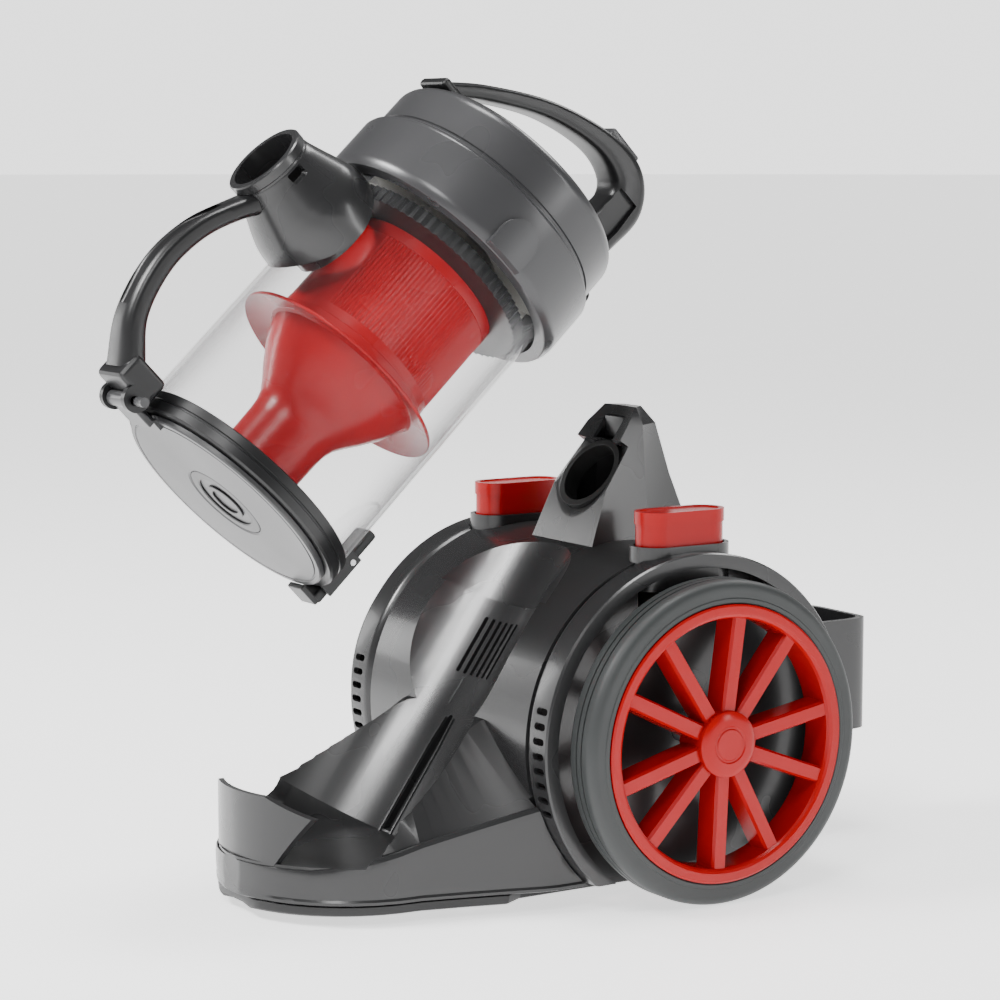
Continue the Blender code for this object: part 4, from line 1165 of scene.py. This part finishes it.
def build_lid():
    body, grey, black = "lid", LOOKS["lid_satin"], LOOKS["black_satin"]
    show(collar(), "collar", body, grey, BIN, ["lid_collar"], bevel=0.6)
    show(cap(), "cap", body, grey, BIN, ["lid_cap"], bevel=0.4)
    duct = cut(plate_tube(20.0, 12.0, 72, 86.0, 251), plate_tube(17.5, 9.5, 60, 100, 251))
    show(duct, "clean_air_duct", body, black, BIN, ["outlet_duct"], bevel=0.6)
    show(carry_handle(), "carry_loop", body, black, BIN, ["carry_handle"], bevel=0.7)
    button = block((-9, 27.4, 341.6), (9, 54.6, 347.5), 1.6)
    show(button, "release_cap", "release_key", grey, BIN, ["release_button"])


# ---------------------------------------------------------------------------
# Studio
# ---------------------------------------------------------------------------

CAMERA_PLACE = (1.55668, -0.98070, 0.46261)
CAMERA_TARGET = (-0.04050, 0.02237, 0.23272)
CAMERA_LENS = 105.98
FLOOR_GLOW = 1.3
# The backdrop's brightness at rising heights above the horizon, as the sine of the angle.
BACKDROP = ((0.0, 2.2), (0.07, 2.2), (0.16, 0.25), (0.5, 0.08), (0.8, 0.3), (1.0, 0.8))
SOFTBOXES = (
    ("key", (1.1, -1.4, 1.9), 0.7, 0.7, 26.0),
    ("front", (-0.55, -1.6, 1.8), 0.8, 0.5, 70.0),
    ("low", (-1.8, -0.95, 0.6), 0.25, 0.5, 4.0),
    ("top", (0.0, 0.05, 2.4), 0.7, 0.7, 32.0),
    ("side", (2.0, 1.3, 0.9), 0.3, 1.0, 10.0),
    ("back", (-0.6, 1.8, 1.8), 1.0, 0.5, 16.0),
)


def build_floor():
    """A pale floor wide enough to meet the horizon, lit a little from within so that it stays pale."""
    bm = bmesh.new()
    bmesh.ops.create_circle(bm, cap_ends=True, segments=96, radius=40.0)
    floor = from_bmesh(bm)
    floor.name = "floor"
    paper = Look("studio_floor")
    paper.color(paper.ramp(paper.noise(3.0), (0.9, 0.9, 0.9), (0.92, 0.92, 0.92)))
    paper.set(Roughness=0.32, Emission_Color=(1.0, 1.0, 1.0, 1.0), Emission_Strength=FLOOR_GLOW)
    floor.data.materials.append(paper.material)


def build_world():
    """A studio in one gradient: pale at the horizon, darker above it, and a broad soft light overhead."""
    world = bpy.data.worlds.new("studio")
    world.use_nodes = True
    nodes, links = world.node_tree.nodes, world.node_tree.links
    sky = nodes.new("ShaderNodeTexCoord")
    split = nodes.new("ShaderNodeSeparateXYZ")
    fade = nodes.new("ShaderNodeValToRGB")
    brightest = max(strength for _, strength in BACKDROP)
    while len(fade.color_ramp.elements) < len(BACKDROP):
        fade.color_ramp.elements.new(0.5)
    for stop, (height, strength) in zip(fade.color_ramp.elements, BACKDROP):
        stop.position = height
        stop.color = (strength / brightest, strength / brightest, strength / brightest, 1.0)
    links.new(sky.outputs["Generated"], split.inputs["Vector"])
    links.new(split.outputs["Z"], fade.inputs["Fac"])
    links.new(fade.outputs["Color"], nodes["Background"].inputs["Color"])
    nodes["Background"].inputs["Strength"].default_value = brightest
    bpy.context.scene.world = world


def build_studio():
    build_floor()
    build_world()
    target = Vector(CAMERA_TARGET)
    for name, spot, width, height, power in SOFTBOXES:
        light = bpy.data.lights.new(name, "AREA")
        light.shape = "RECTANGLE"
        light.size, light.size_y, light.energy = width, height, power
        lamp = bpy.data.objects.new(name, light)
        lamp.location = spot
        lamp.rotation_euler = (target - lamp.location).to_track_quat("-Z", "Y").to_euler()
        bpy.context.scene.collection.objects.link(lamp)
    camera = bpy.data.objects.new("camera", bpy.data.cameras.new("camera"))
    camera.data.lens = CAMERA_LENS
    camera.data.sensor_width = 36.0
    camera.location = CAMERA_PLACE
    camera.rotation_euler = (target - camera.location).to_track_quat("-Z", "Y").to_euler()
    bpy.context.scene.collection.objects.link(camera)
    bpy.context.scene.camera = camera


build_base()
build_buttons()
build_wheels()
build_bin()
build_flap()
build_lid()
build_studio()
